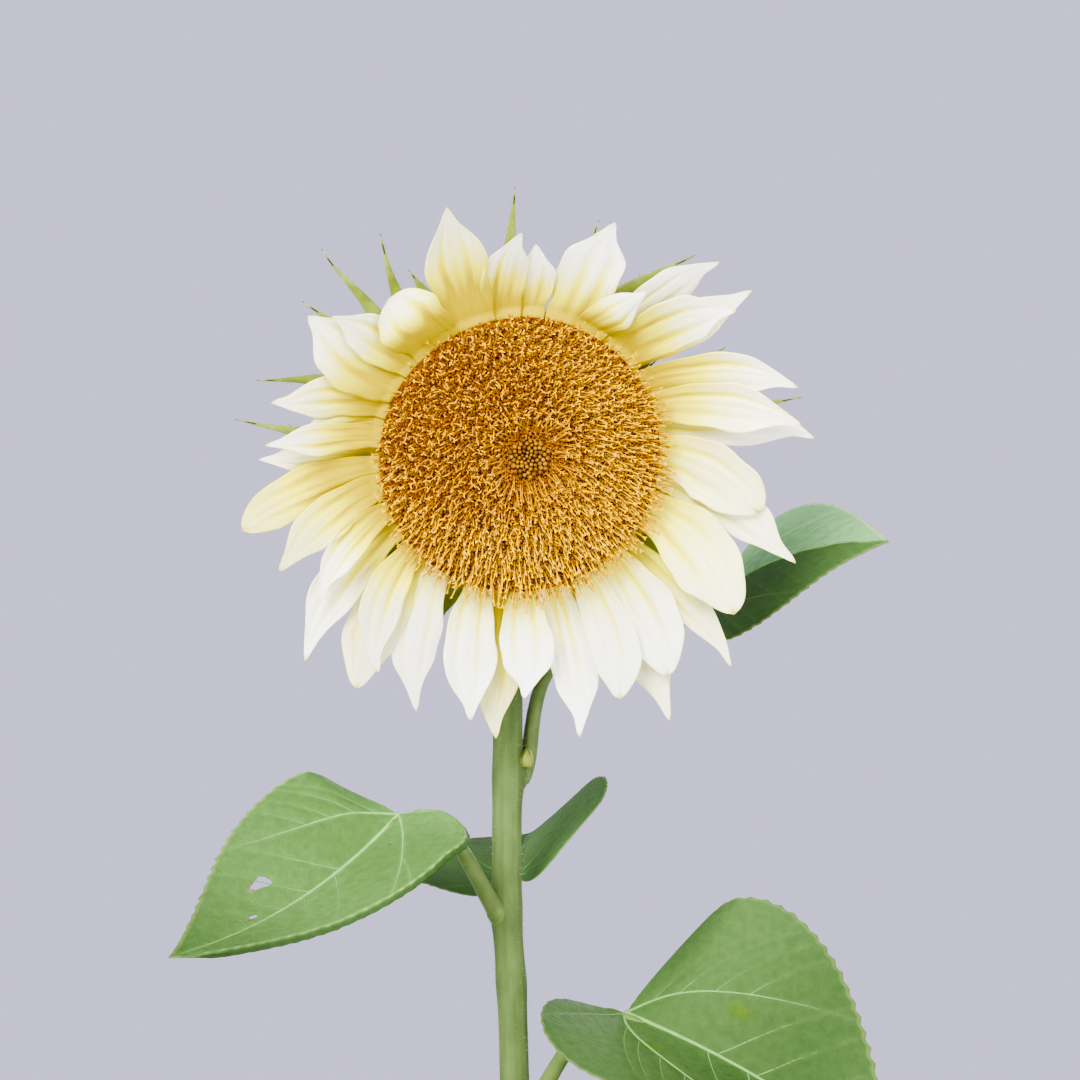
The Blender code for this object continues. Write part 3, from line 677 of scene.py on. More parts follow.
def lower_leaf(rank):
    """The rank-th leaf down the stem below the upper ones, on the golden-angle spiral."""
    down = rank / (LOWER_LEAVES - 1)
    fullness = math.sin(math.pi * (0.25 + 0.65 * down))
    height = UPPER_LEAVES[-1].node_height - LOWER_LEAF_SPACING * (rank + 1)
    turn = LOWER_LEAF_FIRST_TURN - LOWER_LEAF_TURN * (rank + 1)
    outward = Vector((math.cos(turn), math.sin(turn), 0))
    climb = math.radians(ranged(LOWER_PETIOLE_CLIMB, down))
    length = ranged(LOWER_BLADE_LENGTH, fullness)
    droop = math.radians(ranged(LOWER_BLADE_DROOP, down))
    centre, _radius = stem_at(height)
    petiole = ranged(LOWER_PETIOLE_LENGTH, fullness)
    joint = centre + petiole * (outward * math.cos(climb) + UP * math.sin(climb))
    tip = joint + length * (outward * math.cos(droop) + UP * math.sin(droop))
    roll = math.radians(9 * math.sin(2.3 * rank))
    fold = math.radians(-14), math.radians(12 + 5 * math.sin(1.7 * rank))
    arch = 0.07 + 0.02 * math.sin(1.1 * rank)
    return Leaf(height, joint, tip, length * LOWER_BLADE_WIDTH_RATIO, (roll, roll), fold, arch,
                ranged(LOWER_PETIOLE_RADIUS, fullness))


def heart_radius(angle):
    """Outline of a blade, as a distance from the petiole joint for a midrib of 1."""
    angle = np.abs(angle)
    return ((1 - HEART_POINT) * (1 - angle / math.pi) ** HEART_FULLNESS
            + HEART_POINT * np.exp(-angle / HEART_POINT_ANGLE))


_degrees = np.radians(np.arange(180))
HEART_HALF_WIDTH = float(np.max(heart_radius(_degrees) * np.sin(_degrees)))


def opening_at(leaf, angle):
    """Closing angle of the side of the blade that an angle lies on."""
    return np.where(angle > 0, leaf.opening[1], leaf.opening[0])


def blade_reach(leaf, angle):
    """Outline of a leaf's own blade: each side comes in to the joint at its opening angle."""
    share = np.abs(angle) / opening_at(leaf, angle)
    closing = np.sqrt(1 - np.minimum(1, share) ** HEART_CLOSE_SHARPNESS)
    return np.maximum(heart_radius(angle) * closing, HEART_LEAST_REACH)


def leaf_length(leaf):
    return (leaf.tip - leaf.joint).length


def leaf_widen(leaf):
    return leaf.width / leaf_length(leaf) / (2 * HEART_HALF_WIDTH)


def leaf_frame(leaf):
    """Joint at the origin, +X along the midrib to the tip, +Z out of the upper face."""
    along = (leaf.tip - leaf.joint).normalized()
    side = UP.cross(along).normalized()
    made = Matrix((along, side, along.cross(side))).transposed().to_4x4()
    made.translation = leaf.joint
    return made


def blade_points(leaf, along, across, lift):
    """Points of the blade in its own frame; along, across and lift are in midrib lengths."""
    toward_tip = smoothstep(-LEAF_TWIST_START, LEAF_TWIST_SPAN - LEAF_TWIST_START, along)
    roll = leaf.roll[0] + (leaf.roll[1] - leaf.roll[0]) * toward_tip
    fold = leaf.fold[0] + (leaf.fold[1] - leaf.fold[0]) * toward_tip
    raised = np.hypot(across, LEAF_HINGE) - LEAF_HINGE
    y = across * np.cos(fold)
    z = raised * np.sin(fold) - LEAF_DROOP * across * across + lift
    bow = leaf.arch * 4 * along * (1 - along)
    rolled_y = y * np.cos(roll) - z * np.sin(roll)
    rolled_z = y * np.sin(roll) + z * np.cos(roll)
    return np.stack([along, rolled_y, rolled_z + bow], -1) * leaf_length(leaf)


def rim_share(leaf, along, across):
    """How far out to the margin a point of the blade lies, from 0 at the joint to 1."""
    flat = across / leaf_widen(leaf)
    angle = np.arctan2(flat, along)
    closed = np.abs(angle) > opening_at(leaf, angle)
    share = np.hypot(along, flat) / blade_reach(leaf, angle)
    return np.where(closed & (np.hypot(along, across) > 0.02), 2, share)


def vein_lines(leaf, number):
    """The veins of a blade in midrib lengths: (points (k, 2), width at root) for each vein."""
    def run(start, degrees, side, bend, longest, root):
        """A vein from a start point, at an angle to the midrib that it slowly falls in with."""
        s = np.linspace(0, longest, 48)
        turned = VEIN_REST + (degrees - VEIN_REST) * np.exp(-bend * s)
        step = longest / 47
        points = np.stack([start[0] + np.cumsum(np.cos(turned)) * step,
                           start[1] + side * np.cumsum(np.sin(turned)) * step], -1)
        points = np.concatenate([[start], points])
        within = rim_share(leaf, *points.T) < 0.965
        end = len(points) if within.all() else max(3, int(np.argmin(within)))
        return points[:end], root

    lines = [(np.stack([np.linspace(0, 0.97, 60), np.zeros(60)], -1), 1)]
    for side, (angle, bend) in zip((-1, 1), BASAL_VEINS.get(number, PLAIN_BASAL_VEINS)):
        lines.append(run((0, 0), math.radians(angle), side, bend, 0.85, 0.72))
        basal = lines[-1][0]
        for share in (0.14, 0.26, 0.40, 0.55) if bend > 3 else (0.52,):
            start = basal[int(share * (len(basal) - 1))]
            lines.append(run(start, math.radians(80 - 30 * share), side, 1.6, 0.42, 0.30))
        for rank, start in enumerate((0.30, 0.44, 0.56, 0.67, 0.77, 0.86)):
            way = math.radians(58 - 1.6 * rank) + 0.04 * side * math.sin(2.1 * rank)
            lines.append(run((start + 0.015 * side, 0), way, side, 0.9, 0.75, 0.40 - 0.03 * rank))
        lines.append(run((0, 0), math.radians(118), side, 0.5, 0.4, 0.34))
    return lines


def vein_distance(points, lines):
    """Distance of (n, 2) points to the nearest vein, weighed down for the finer veins."""
    best = np.full(len(points), 9)
    for line, root in lines:
        start = line[:-1:2]
        leg = line[np.minimum(np.arange(2, len(line) + 1, 2), len(line) - 1)] - start
        share = ((points[:, None] - start) * leg).sum(-1) / ((leg * leg).sum(-1) + 1e-12)
        nearest = start + np.clip(share, 0, 1)[..., None] * leg
        gap = np.linalg.norm(points[:, None] - nearest, axis=-1).min(1)
        best = np.minimum(best, gap * (1.5 - 0.5 * root) + 0.008 * (1 - root))
    return best


def blade_lift(along, across, rim, lines, seed):
    """Quilting between the veins and the soft waves of the margin, and the distance to the veins."""
    gap = vein_distance(np.stack([along.ravel(), across.ravel()], -1), lines).reshape(along.shape)
    quilt = 0.005 * (1 - bell(gap, 0.028)) * (1 - rim ** 6)
    ripple = 0.0008 * np.sin(71 * along + 23 * across + seed) * np.sin(67 * across - seed)
    angle = np.arctan2(across, along + 1e-9)
    wave = 0.009 * rim ** 3 * np.sin(5 * angle + seed) * np.minimum(1, np.abs(angle) * 2)
    return quilt + ripple + wave, gap


def ring_shares(rings):
    """Where the blade's rings lie between joint and margin; the last ones are close together."""
    inner = 0.93 * np.linspace(0, 1, rings - 5) ** 0.85
    return np.concatenate([inner, (0.945, 0.96, 0.975, 0.988, 1)])


def meshed_lift(leaf, lift, route):
    """Lift of the blade's mesh under the points of a vein."""
    rings, columns = lift.shape
    angle = np.arctan2(route[:, 1] / leaf_widen(leaf), route[:, 0])
    turn = np.sign(angle) * (np.abs(angle) / opening_at(leaf, angle)) ** (1 / ANGLE_SPREAD)
    row = np.interp(np.clip(rim_share(leaf, *route.T), 0, 1), ring_shares(rings), np.arange(rings))
    column = np.clip(0.5 + 0.5 * turn, 0, 1) * (columns - 1)
    low_row = np.minimum(row.astype(int), rings - 2)
    low_column = np.minimum(column.astype(int), columns - 2)
    down, over = row - low_row, column - low_column
    near = lift[low_row, low_column] * (1 - over) + lift[low_row, low_column + 1] * over
    far = lift[low_row + 1, low_column] * (1 - over) + lift[low_row + 1, low_column + 1] * over
    return near * (1 - down) + far * down


def blade_grid(leaf, rings, columns, seed):
    """The blade's points in midrib lengths, their shares of the rim, and the margin's teeth."""
    turn = np.linspace(-1, 1, columns)
    angle = opening_at(leaf, turn) * np.sign(turn) * np.abs(turn) ** ANGLE_SPREAD
    rim = ring_shares(rings)[:, None] * np.ones(columns)
    outline = blade_reach(leaf, angle)
    edge_x, edge_y = outline * np.cos(angle), outline * np.sin(angle)
    run = np.cumsum(np.hypot(np.gradient(edge_x), np.gradient(edge_y)))
    tooth = np.abs(((run * TEETH_IN_MIDRIB + 0.13 * seed) % 1) - 0.35)
    teeth = 1 + (0.030 * tooth - 0.012) * rim ** 10 * smoothstep(0, 0.35, np.abs(angle))
    reach = rim * outline * teeth
    return reach * np.cos(angle), reach * np.sin(angle) * leaf_widen(leaf), rim, tooth


def eat_holes(number, along, across, faces):
    """Cut the eaten holes: points drawn to their ragged rims, faces left, and the scorch by them."""
    whole = np.ones(len(faces), bool)
    scorched = np.zeros(along.shape)
    for x, y, half_length, half_width in LEAF_HOLES.get(number, []):
        dx, dy = (along - x) / half_length, (across - y) / half_width
        far = np.hypot(dx, dy) / (1 + 0.16 * np.sin(3 * np.arctan2(dy, dx) + 1))
        scorched = np.maximum(scorched, (far < 1.22) * smoothstep(0.15, 0.75, dx))
        centre = np.hypot(dx.ravel()[faces].mean(1), dy.ravel()[faces].mean(1))
        eaten = centre <= max(0.75, float(centre.min()))
        whole &= ~eaten
        on_rim = (far < 1) | np.isin(np.arange(far.size), faces[eaten]).reshape(far.shape)
        push = 1 / np.maximum(far, 0.2)
        along = np.where(on_rim, x + (along - x) * push, along)
        across = np.where(on_rim, y + (across - y) * push, across)
    return along, across, faces[whole], scorched


def painted_leaf_light(light_and_shade, along, across):
    """The painted light and shade of the blade at its points, as a factor on its tint."""
    left, right, end, _veins = light_and_shade
    tone = mix((right,), (left,), smoothstep(-0.012, 0.012, across))
    return tone * mix((1,), (end,), smoothstep(0.25, 0.80, along))


def blade_tint(number, along, across, rim, gap, rolled, tooth, scorched):
    """The blade's colour: lighter beside its veins, a painted highlight along its margin and on the
    crest of a rolled edge, painted shade on the rolled edge beyond that crest, the leaf's painted light
    and shade with a painted sheen, and marked.
    """
    light_and_shade = LEAF_PAINTED_LIGHT.get(number, PLAIN_PAINTED_LIGHT)
    tint = mix(*BLADE_TINTS, 0.5 + 0.5 * np.sin(7 * along + leaf_seed(number)))
    tint = mix(tint, BESIDE_VEIN_TINT, 0.5 * bell(gap, 0.012))
    # Painted highlight along the margin where it is not rolled.
    tint = mix(tint, PAINTED_MARGIN_HIGHLIGHT, 0.5 * smoothstep(0.976, 0.988, rim) * (rolled == 0))
    # Painted highlight on the crest of the rolled margin.
    crest_highlight = bell(rolled - 0.12, 0.09) * (rolled > 0) * np.clip(0.15 + 1.6 * tooth, 0, 1)
    tint = mix(tint, PAINTED_CREST_HIGHLIGHT, 0.75 * crest_highlight)
    # Painted shade on the rolled margin beyond its crest.
    tint = tint * (1 - 0.62 * smoothstep(0.25, 0.45, rolled))[..., None]
    # Painted light and shade, by side of the midrib and towards the tip.
    tint = tint * painted_leaf_light(light_and_shade, along, across + 0.01 * np.sin(30 * along))
    # Painted sheen on a strongly lit left half.
    tint = tint + np.array(PAINTED_SHEEN_TINT) * max(0, light_and_shade[0] - 1.5) * (across > 0)[..., None]
    tint = mix(tint, SCORCHED_TINT, 0.85 * scorched)
    for x, y, half_length, half_width in LEAF_SPOTS.get(number, []):
        near = np.hypot((along - x) / half_length, (across - y) / half_width)
        blotch = smoothstep(1.1, 0.3, near + 0.3 * np.sin(140 * along) * np.sin(150 * across))
        tint = mix(tint, SPOT_TINT, 0.7 * blotch)
    return tint


def leaf_seed(number):
    return 1.7 * number


def make_leaf(number, leaf, rings, columns):
    """The blade of one leaf; its veins and petiole are returned as parts."""
    length = leaf_length(leaf)
    place = leaf_frame(leaf)
    lines = vein_lines(leaf, number)
    along, across, rim, tooth = blade_grid(leaf, rings, columns, leaf_seed(number))
    lift, gap = blade_lift(along, across, rim, lines, leaf_seed(number))
    rolled = smoothstep(0.93, 1, rim) * smoothstep(0.02, 0.10, across) * (number in ROLLED_LEAVES)
    lift = lift - 0.016 * rolled
    along, across, faces, scorched = eat_holes(number, along, across, grid_faces(rings, columns))
    tint = blade_tint(number, along, across, rim, gap, rolled, tooth, scorched)
    blade = piece(f"leaf_blade_{number:02d}", blade_points(leaf, along, across, lift), faces,
                  ["leaf_top", "leaf_under"], "leaf_green", tint=tint,
                  grain=np.stack([along * length, across * length, 0 * along], -1), place=place)
    solidify(blade, LEAF_THICKNESS, 1)
    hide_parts(f"leaf_{number:02d}")
    return leaf_veins(number, leaf, place, lines, lift), make_petiole(leaf, place)


def leaf_veins(number, leaf, place, lines, lift):
    """The raised veins of a leaf: points, faces and tints."""
    light_and_shade = LEAF_PAINTED_LIGHT.get(number, PLAIN_PAINTED_LIGHT)
    veins, tints = [], []
    for line, root in lines:
        route = line[::2] if len(line) > 8 else line
        points = blade_points(leaf, *route.T, meshed_lift(leaf, lift, route))
        points[:, 2] += VEIN_PROUD
        radii = leaf.petiole_radius * root * 0.36 * (1 - 0.82 * np.linspace(0, 1, len(route)))
        veins.append(tubes(moved(points, place)[None], radii[None], 4, np.array(place)[None, :3, 2]))
        # The veins carry their leaf's painted light and shade as well.
        light = painted_leaf_light(light_and_shade, *route.T) * (1.05 + 0.95 * root) * light_and_shade[3]
        tints.append(np.repeat(np.array(VEIN_TINT) * light, 4, axis=0))
    return (*join(veins), np.concatenate(tints))


def make_petiole(leaf, place):
    """The leaf stalk, from a widened foot on the stem to under the blade."""
    centre, radius = stem_at(leaf.node_height)
    outward = leaf.joint - centre
    outward.z = 0
    outward.normalize()
    seat = centre + outward * (0.1 * radius) - UP * (7 * MM)
    foot = centre + outward * (radius - 0.5 * MM) - UP * (1.5 * MM)
    elbow = centre + outward * (radius + 2.6 * MM) + UP * (2.2 * MM)
    share, lift = leaf.knee
    middle = elbow.lerp(leaf.joint, share) + UP * (lift * (leaf.joint - elbow).length)
    thick = leaf.petiole_radius
    under = place @ Vector((-0.4 * thick, 0, -1.1 * thick))
    end = Vector(blade_points(leaf, np.array(0.08), np.array(0), np.array(0)).tolist())
    sink = place @ (end - UP * (0.45 * thick))
    stations = [(*seat, thick * 1.4), (*foot, thick * 1.7), (*elbow, thick * 1.35), (*middle, thick),
                (*under, thick * 0.8), (*sink, thick * 0.4)]
    route = smooth_route(stations, 8)
    return tubes(route[None, :, :3], route[None, :, 3], 12, np.array([[-outward.y, outward.x, 0]]))


def make_leaves():
    leaves = UPPER_LEAVES + [lower_leaf(rank) for rank in range(LOWER_LEAVES)]
    veins, petioles = [], []
    for number, leaf in enumerate(leaves, 1):
        grid = FINE_LEAF_GRID if number <= len(UPPER_LEAVES) else PLAIN_LEAF_GRID
        vein, petiole = make_leaf(number, leaf, *grid)
        veins.append(vein)
        petioles.append(petiole)
    half = len(veins) // 2
    for name, group in (("upper", veins[:half]), ("lower", veins[half:])):
        piece("leaf_veins_" + name, *join([vein[:2] for vein in group]), ["vein"], "leaf_green",
              tint=np.concatenate([vein[2] for vein in group]))
    verts, faces = join(petioles)
    piece("petioles", verts, faces, ["petiole"], "leaf_green")
    corners = verts[faces[rng.integers(0, len(faces), PETIOLE_HAIRS)]]
    out = unit(np.cross(corners[:, 1] - corners[:, 0], corners[:, 3] - corners[:, 0]))
    ways = unit(out + rng.normal(0, 0.2, out.shape))
    lengths = rng.uniform(*PETIOLE_HAIR_LENGTHS_MM, PETIOLE_HAIRS) * MM
    hairs("petiole_hairs", corners.mean(1), ways, lengths, HAIR_RADIUS, "leaf_green")
    return leaves


# ---- petals


def bent_midline(root_radius, root_angle, tip_radius, tip_angle, t):
    """Points and unit side directions on a midline that leaves its root radially."""
    start, end = (np.array((math.cos(angle), math.sin(angle))) * radius
                  for angle, radius in ((root_angle, root_radius), (tip_angle, tip_radius)))
    knee = start / root_radius * (0.5 * (root_radius + tip_radius))
    t = np.asarray(t)[..., None]
    point = start * (1 - t) ** 2 + knee * 2 * t * (1 - t) + end * t * t
    tangent = unit((knee - start) * (1 - t) + (end - knee) * t)
    return point, np.stack([-tangent[..., 1], tangent[..., 0]], -1)


def bowl_height(x, y):
    """How far the rays' common bowl stands forward; it is deepest at the flower's top."""
    reach = np.hypot(x, y)
    s = np.maximum(0, (reach - BOWL_START) / (BOWL_END - BOWL_START))
    return (BOWL_LIFT + BOWL_LIFT_MORE_ABOVE * y / reach) * s * (1.5 - 0.5 * s)


def ray_half_width(ray, t):
    """Claw, broad middle, and a tip that is drawn out, or blunt where the ray is bitten."""
    blunt = min(1, 2.5 * abs(ray.notch))
    below = 0.5 - 0.5 * math.sin(math.radians(ray.root_angle))
    claw = RAY_CLAW - 0.25 * below
    grow = np.sin(0.5 * math.pi * np.minimum(t / RAY_WIDEST, 1)) ** 1.4
    beyond = np.clip((t - RAY_WIDEST) / (1 - RAY_WIDEST), 0, 1)
    drawn = (1 - beyond ** (1.95 + 1.05 * blunt)) ** (0.92 - 0.27 * blunt)
    shape = np.where(t < RAY_WIDEST, claw + (1 - claw) * grow, drawn)
    point = 1 - 0.36 * (1 - blunt) * smoothstep(0.66, 0.90, t) * smoothstep(1.04, 0.92, t)
    return np.maximum(0.5 * ray.width * MM * shape * point, 0.12 * MM)


def upper_left(ray):
    """How far a ray points to the upper left of the flower, from 0 to 1."""
    return 0.5 + 0.5 * math.cos(math.radians(ray.root_angle - 130))


def ray_tint(ray, t, v, grooves, body, lap, phase):
    """Cream with painted shade, yellow at the root and in the grooves, dry at the tip, finely veined.
    """
    # Painted shade: each ray's own amount, more on the rear layers, and more where the cream is warmer
    # than 1.
    cream = mix(*CREAMS, ray.warm) * (1 - ray.painted_shade)
    cream = cream * (1 - 0.08 * max(0, ray.layer - 3) - 0.35 * max(0, ray.warm - 1))
    amount = ray.gold * bell(t, 0.26 + 0.16 * ray.gold) + 0.4 * lap / MM * bell(t, 0.10)
    amount = amount + (0.20 + 0.42 * ray.gold) * grooves * bell(t - 0.36, 0.40)
    amount = amount + 0.10 * np.abs(v) ** 6 * body + 0.34 * v ** 8 * smoothstep(0.62, 0.95, t)
    tint = mix(cream, PALE_YELLOW, np.clip(1.8 * amount, 0, 1))
    tint = mix(tint, DEEP_YELLOW, smoothstep(0.45, 1.15, amount))
    tint = mix(tint, DRY_TIP_TINT, 0.85 * smoothstep(0.955, 1, t))
    veined = 0.5 + 0.5 * np.cos(v * 34 + phase)
    return tint * (1 - 0.055 * veined[..., None] * body[..., None])


def make_petal(number, ray, draw):
    """A petal on its bent midline: grooved, pleated, waved, and laid in its layer of the bowl."""
    t, v = strip(*RAY_GRID)
    t = t ** 0.95
    half = ray_half_width(ray, t)
    uneven = 1 + 0.05 * np.sin(9 * t + draw[0] * 6 + v) + 0.03 * np.sin(21 * t + draw[1] * 6)
    middle, side = bent_midline(RAY_ROOT_RADIUS, math.radians(ray.root_angle),
                                ray.reach * MM, math.radians(ray.tip_angle), t)
    flat = middle + side * (v * half * uneven)[..., None]
    s = np.clip((np.hypot(flat[..., 0], flat[..., 1]) - RAY_ROOT_RADIUS) / (BOWL_END - RAY_ROOT_RADIUS),
                0, 1)
    spacing = RAY_LAYER_AT_ROOT + (RAY_LAYER_AT_TIP - RAY_LAYER_AT_ROOT) * s
    cup = RAY_CUP * (1 - ray.layer / 2.5) * half * v * v * np.sin(math.pi * t)
    puff = ray.puff * MM * np.sin(math.pi * t) ** 2 * (1 - 0.6 * v * v)

    body = np.sin(math.pi * np.clip(t * 1.08, 0, 1)) ** 0.8
    grooves = ((0.45 + 0.5 * draw[3]) * bell(v - 0.22 - 0.26 * draw[2], 0.12)
               + (0.95 - 0.6 * draw[3]) * bell(v + 0.28 + 0.26 * draw[4], 0.14)
               + 0.4 * draw[5] * bell(v - 0.1 * draw[6], 0.08))
    relief = (-RAY_GROOVE * grooves * body * (half / (8 * MM))
              + RAY_PLEAT * np.cos(v * 21 + 3 * draw[4]) * body)
    roll = 0.55 * (draw[1] - 0.5) * v * half * body
    rolled = (1.6 * draw[5] - 0.5) * MM * np.maximum(0, np.abs(v) - 0.55) ** 2 * 4 * body
    waves = RAY_WAVE * np.abs(v) * np.sin(11 * t + 6 * draw[6] + 2 * v) * body
    lap = RAY_ROOT_LAP * smoothstep(0.55, 0.9, upper_left(ray)) * bell(t, 0.22)
    tip = ray.tip_curl * MM * np.maximum(0, (t - 0.72) / 0.28) ** 2
    nib = 3.4 * MM * (draw[0] - 0.5) * smoothstep(0.84, 1.02, t)
    flat = flat + side * nib[..., None]
    height = (RAY_FRONT_HEIGHT + bowl_height(flat[..., 0], flat[..., 1]) - spacing * ray.layer
              + cup + puff + relief + roll + rolled + waves + tip + lap)
    if ray.notch > 0:
        bite = ray.notch * RAY_BITE * bell(v - 0.25, 0.25) * smoothstep(0.86, 1, t)
        flat = flat - unit(middle) * bite[..., None]

    along = t * (ray.reach * MM - RAY_ROOT_RADIUS)
    petal = piece(f"petal_{number:02d}", np.concatenate([flat, height[..., None]], -1),
                  grid_faces(*t.shape), ["petal"], "ray_cream",
                  tint=ray_tint(ray, t, v, grooves, body, lap, draw[7]),
                  grain=np.stack([along, v * half, 0.01 * number + 0 * t], -1), place=HEAD_FRAME)
    solidify(petal, RAY_THICKNESS)
    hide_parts(f"ray_{number:02d}")


# ---- disc


def disc_height(radius):
    """Height of the disc's dome at a distance from its middle."""
    radii = [point[0] * MM for point in DISC_PROFILE_MM]
    heights = [point[1] * DISC_CROWN for point in DISC_PROFILE_MM]
    return np.interp(radius, radii, heights)


def make_disc():
    """The dome under the florets, then the closed florets and the open ones."""
    rings, columns = DISC_BED_GRID
    radius = np.linspace(0, 1, rings)[:, None] * DISC_BED_RADIUS
    verts = revolved(radius, disc_height(radius) - DISC_BED_SINK, np.linspace(0, FULL_TURN, columns))
    skirt = verts[-1:] * np.array((0.985, 0.985, 0)) + np.array((0, 0, -4 * MM))
    dome = piece("disc_bed", np.concatenate([verts, skirt]), grid_faces(rings + 1, columns),
                 ["disc_bed"], "disc_gold", place=HEAD_FRAME)
    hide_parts("seed_disc")

    order = np.arange(FLORETS)
    radius = FLORETS_RADIUS * ((order + 0.5) / FLORETS) ** FLORET_CROWDING
    turn = order * GOLDEN_ANGLE
    flat = np.stack([np.cos(turn), np.sin(turn)], -1) * radius[:, None]
    flat += WHORL_SHIFT * (1 - (radius / DISC_RADIUS) ** 2)[:, None]
    flat += rng.normal(0, 0.22 * MM, flat.shape) * smoothstep(5 * MM, 9 * MM, radius)[:, None]
    above = 0.5 - 0.5 * unit(flat) @ LOWER_RIGHT
    flat *= (1 - RIM_PULL * smoothstep(0.40, 0.80, above) * (radius / DISC_RADIUS) ** 4)[:, None]
    from_middle = np.linalg.norm(flat, axis=1)
    base = np.c_[flat, disc_height(from_middle) - FLORET_SINK]
    slope = (disc_height(from_middle + MM) - disc_height(from_middle - MM)) / (2 * MM)
    outward = np.c_[unit(flat), np.zeros(FLORETS)]
    normal = unit(np.c_[-unit(flat) * slope[:, None], np.ones(FLORETS)])
    lean_way = unit(np.c_[unit(flat - WHORL_SHIFT), np.zeros(FLORETS)])

    closed = radius < CLOSED_RADIUS
    make_closed_florets(base[closed], normal[closed], radius[closed])
    make_open_florets(*(values[~closed] for values in (base, normal, lean_way, outward, radius)))


def make_closed_florets(base, normal, radius):
    """Closed florets at the whorl: small ribbed beads."""
    count = len(base)
    share = radius / CLOSED_RADIUS
    size = (0.40 + 0.30 * share) * rng.uniform(0.85, 1.15, count) * MM
    rise = CLOSED_FLORET_STEPS * size[:, None] + (0.5 * MM + 0.55 * MM * share)[:, None]
    paths = base[:, None] + normal[:, None] * rise[..., None]
    beads = tubes(paths, CLOSED_FLORET_SWELL * size[:, None], 7, np.array((0.3, 1, 0.2)))
    piece("closed_florets", *beads, ["closed_floret"], "disc_gold", place=HEAD_FRAME)


def make_open_florets(base, normal, lean_way, outward, radius):
    """Styles that lean out from the whorl, each with two curled stigma arms, over corolla lobes."""
    count = len(base)
    # The darker inner zone reaches out over the left side of the disc: painted shade there.
    toward_left = outward[:, :2] @ np.array((-0.87, 0.5))
    shift = np.where(toward_left > 0, 20, 4) * MM * toward_left
    inner = radius - shift + rng.normal(0, 2.5 * MM, count) < INNER_RADIUS
    near_closed = bell(radius - 7.5 * MM, 3.2 * MM)
    rim = smoothstep(24 * MM, 40 * MM, radius)
    below = 0.5 + 0.5 * outward[:, :2] @ LOWER_RIGHT
    lean = 20 + 26 * near_closed + (52 * below - 28) * rim + rng.normal(0, 11, count)
    lean = np.radians(lean)[:, None]
    sideways = np.cross(normal, lean_way)
    drift = rng.normal(0, 0.24, count)[:, None]
    axis = unit(normal * np.cos(lean) + lean_way * np.sin(lean) + sideways * drift)
    length = (3 + 2.3 * near_closed + (1.3 * below - 0.5) * rim + rng.normal(0, 0.45, count)) * MM

    steps = np.linspace(0, 1, len(STYLE_RADII))[None, :, None]
    bow = lean_way * (0.35 * rng.uniform(-0.2, 1, count))[:, None]
    reach = axis[:, None] * steps + 0.6 * bow[:, None] * steps ** 2
    styles = base[:, None] + reach * length[:, None, None]
    end = styles[:, -1]
    way = unit(styles[:, -1] - styles[:, -2])

    spin = rng.uniform(0, math.pi, count)[:, None]
    across = unit(np.cross(way, normal + 0.01))
    flank = across * np.cos(spin) + np.cross(way, across) * np.sin(spin)
    curl = np.where(inner, rng.uniform(0.5, 2.2, count), rng.uniform(0.3, 1.1, count))[:, None]
    size = rng.uniform(0.85, 1.45, count)[:, None] * MM / curl
    bent = np.linspace(0, 1, len(STIGMA_RADII)) * curl
    forward = way[:, None] * (np.sin(bent) * size)[..., None]
    aside = flank[:, None] * ((1 - np.cos(bent) + 0.10 * bent) * size)[..., None]
    arms = [(end - way * 0.08 * MM)[:, None] + forward + aside * direction for direction in (-1, 1)]
    helper = np.cross(way, flank)

    for zone, chosen in (("inner", inner), ("outer", ~inner)):
        piece(f"styles_{zone}", *tubes(styles[chosen], STYLE_RADII, 5, sideways[chosen]),
              ["style_" + zone], "disc_gold", place=HEAD_FRAME)
        both = join([tubes(arm[chosen], STIGMA_RADII, 4, helper[chosen]) for arm in arms])
        piece(f"stigmas_{zone}", *both, ["stigma_" + zone], "disc_gold", place=HEAD_FRAME)
        make_corollas(zone, base[chosen], normal[chosen], lean_way[chosen])


def make_corollas(zone, base, normal, lean_way):
    """Five pointed lobes round each open floret."""
    start = rng.uniform(0, FULL_TURN, len(base))
    side = np.cross(normal, lean_way)
    parts = []
    for lobe in range(COROLLA_LOBES):
        turn = start + FULL_TURN * lobe / COROLLA_LOBES
        way = lean_way * np.cos(turn)[:, None] + side * np.sin(turn)[:, None]
        aside = np.cross(normal, way)
        root = base + way * 0.42 * MM + normal * 0.7 * MM
        tip = base + way * 1.15 * MM + normal * (1.35 * MM)
        middle = root * 0.5 + tip * 0.5 + normal * 0.12 * MM
        parts.append(np.stack([root - aside * 0.30 * MM, root + aside * 0.30 * MM,
                               middle + aside * 0.28 * MM, tip, middle - aside * 0.28 * MM], 1))
    verts = np.concatenate(parts)
    first = 5 * np.arange(len(verts))[:, None]
    faces = (first + (0, 1, 2, 4)).tolist() + (first + (4, 2, 3)).tolist()
    piece("corollas_" + zone, verts, faces, ["corolla_" + zone], "disc_gold", place=HEAD_FRAME)


# ---- calyx


def all_bracts():
    bracts = list(UPPER_BRACTS)
    for rank in range(LOWER_BRACTS):
        angle = LOWER_BRACT_FIRST + LOWER_BRACT_TURN * rank
        bracts.append(Bract(angle, angle, 65 + 3 * math.sin(2.4 * rank), 11, rank % 3))
    for rank in range(BACK_BRACTS):
        angle = 360 * (rank + 0.5) / BACK_BRACTS
        bent = angle + 5 * math.sin(1.9 * rank)
        bracts.append(Bract(angle, bent, 45 + 4 * math.sin(2.7 * rank), 10, 3))
    return bracts + [Bract(angle, angle, 60, 11, 0) for angle in BRACTS_BETWEEN_RAYS]


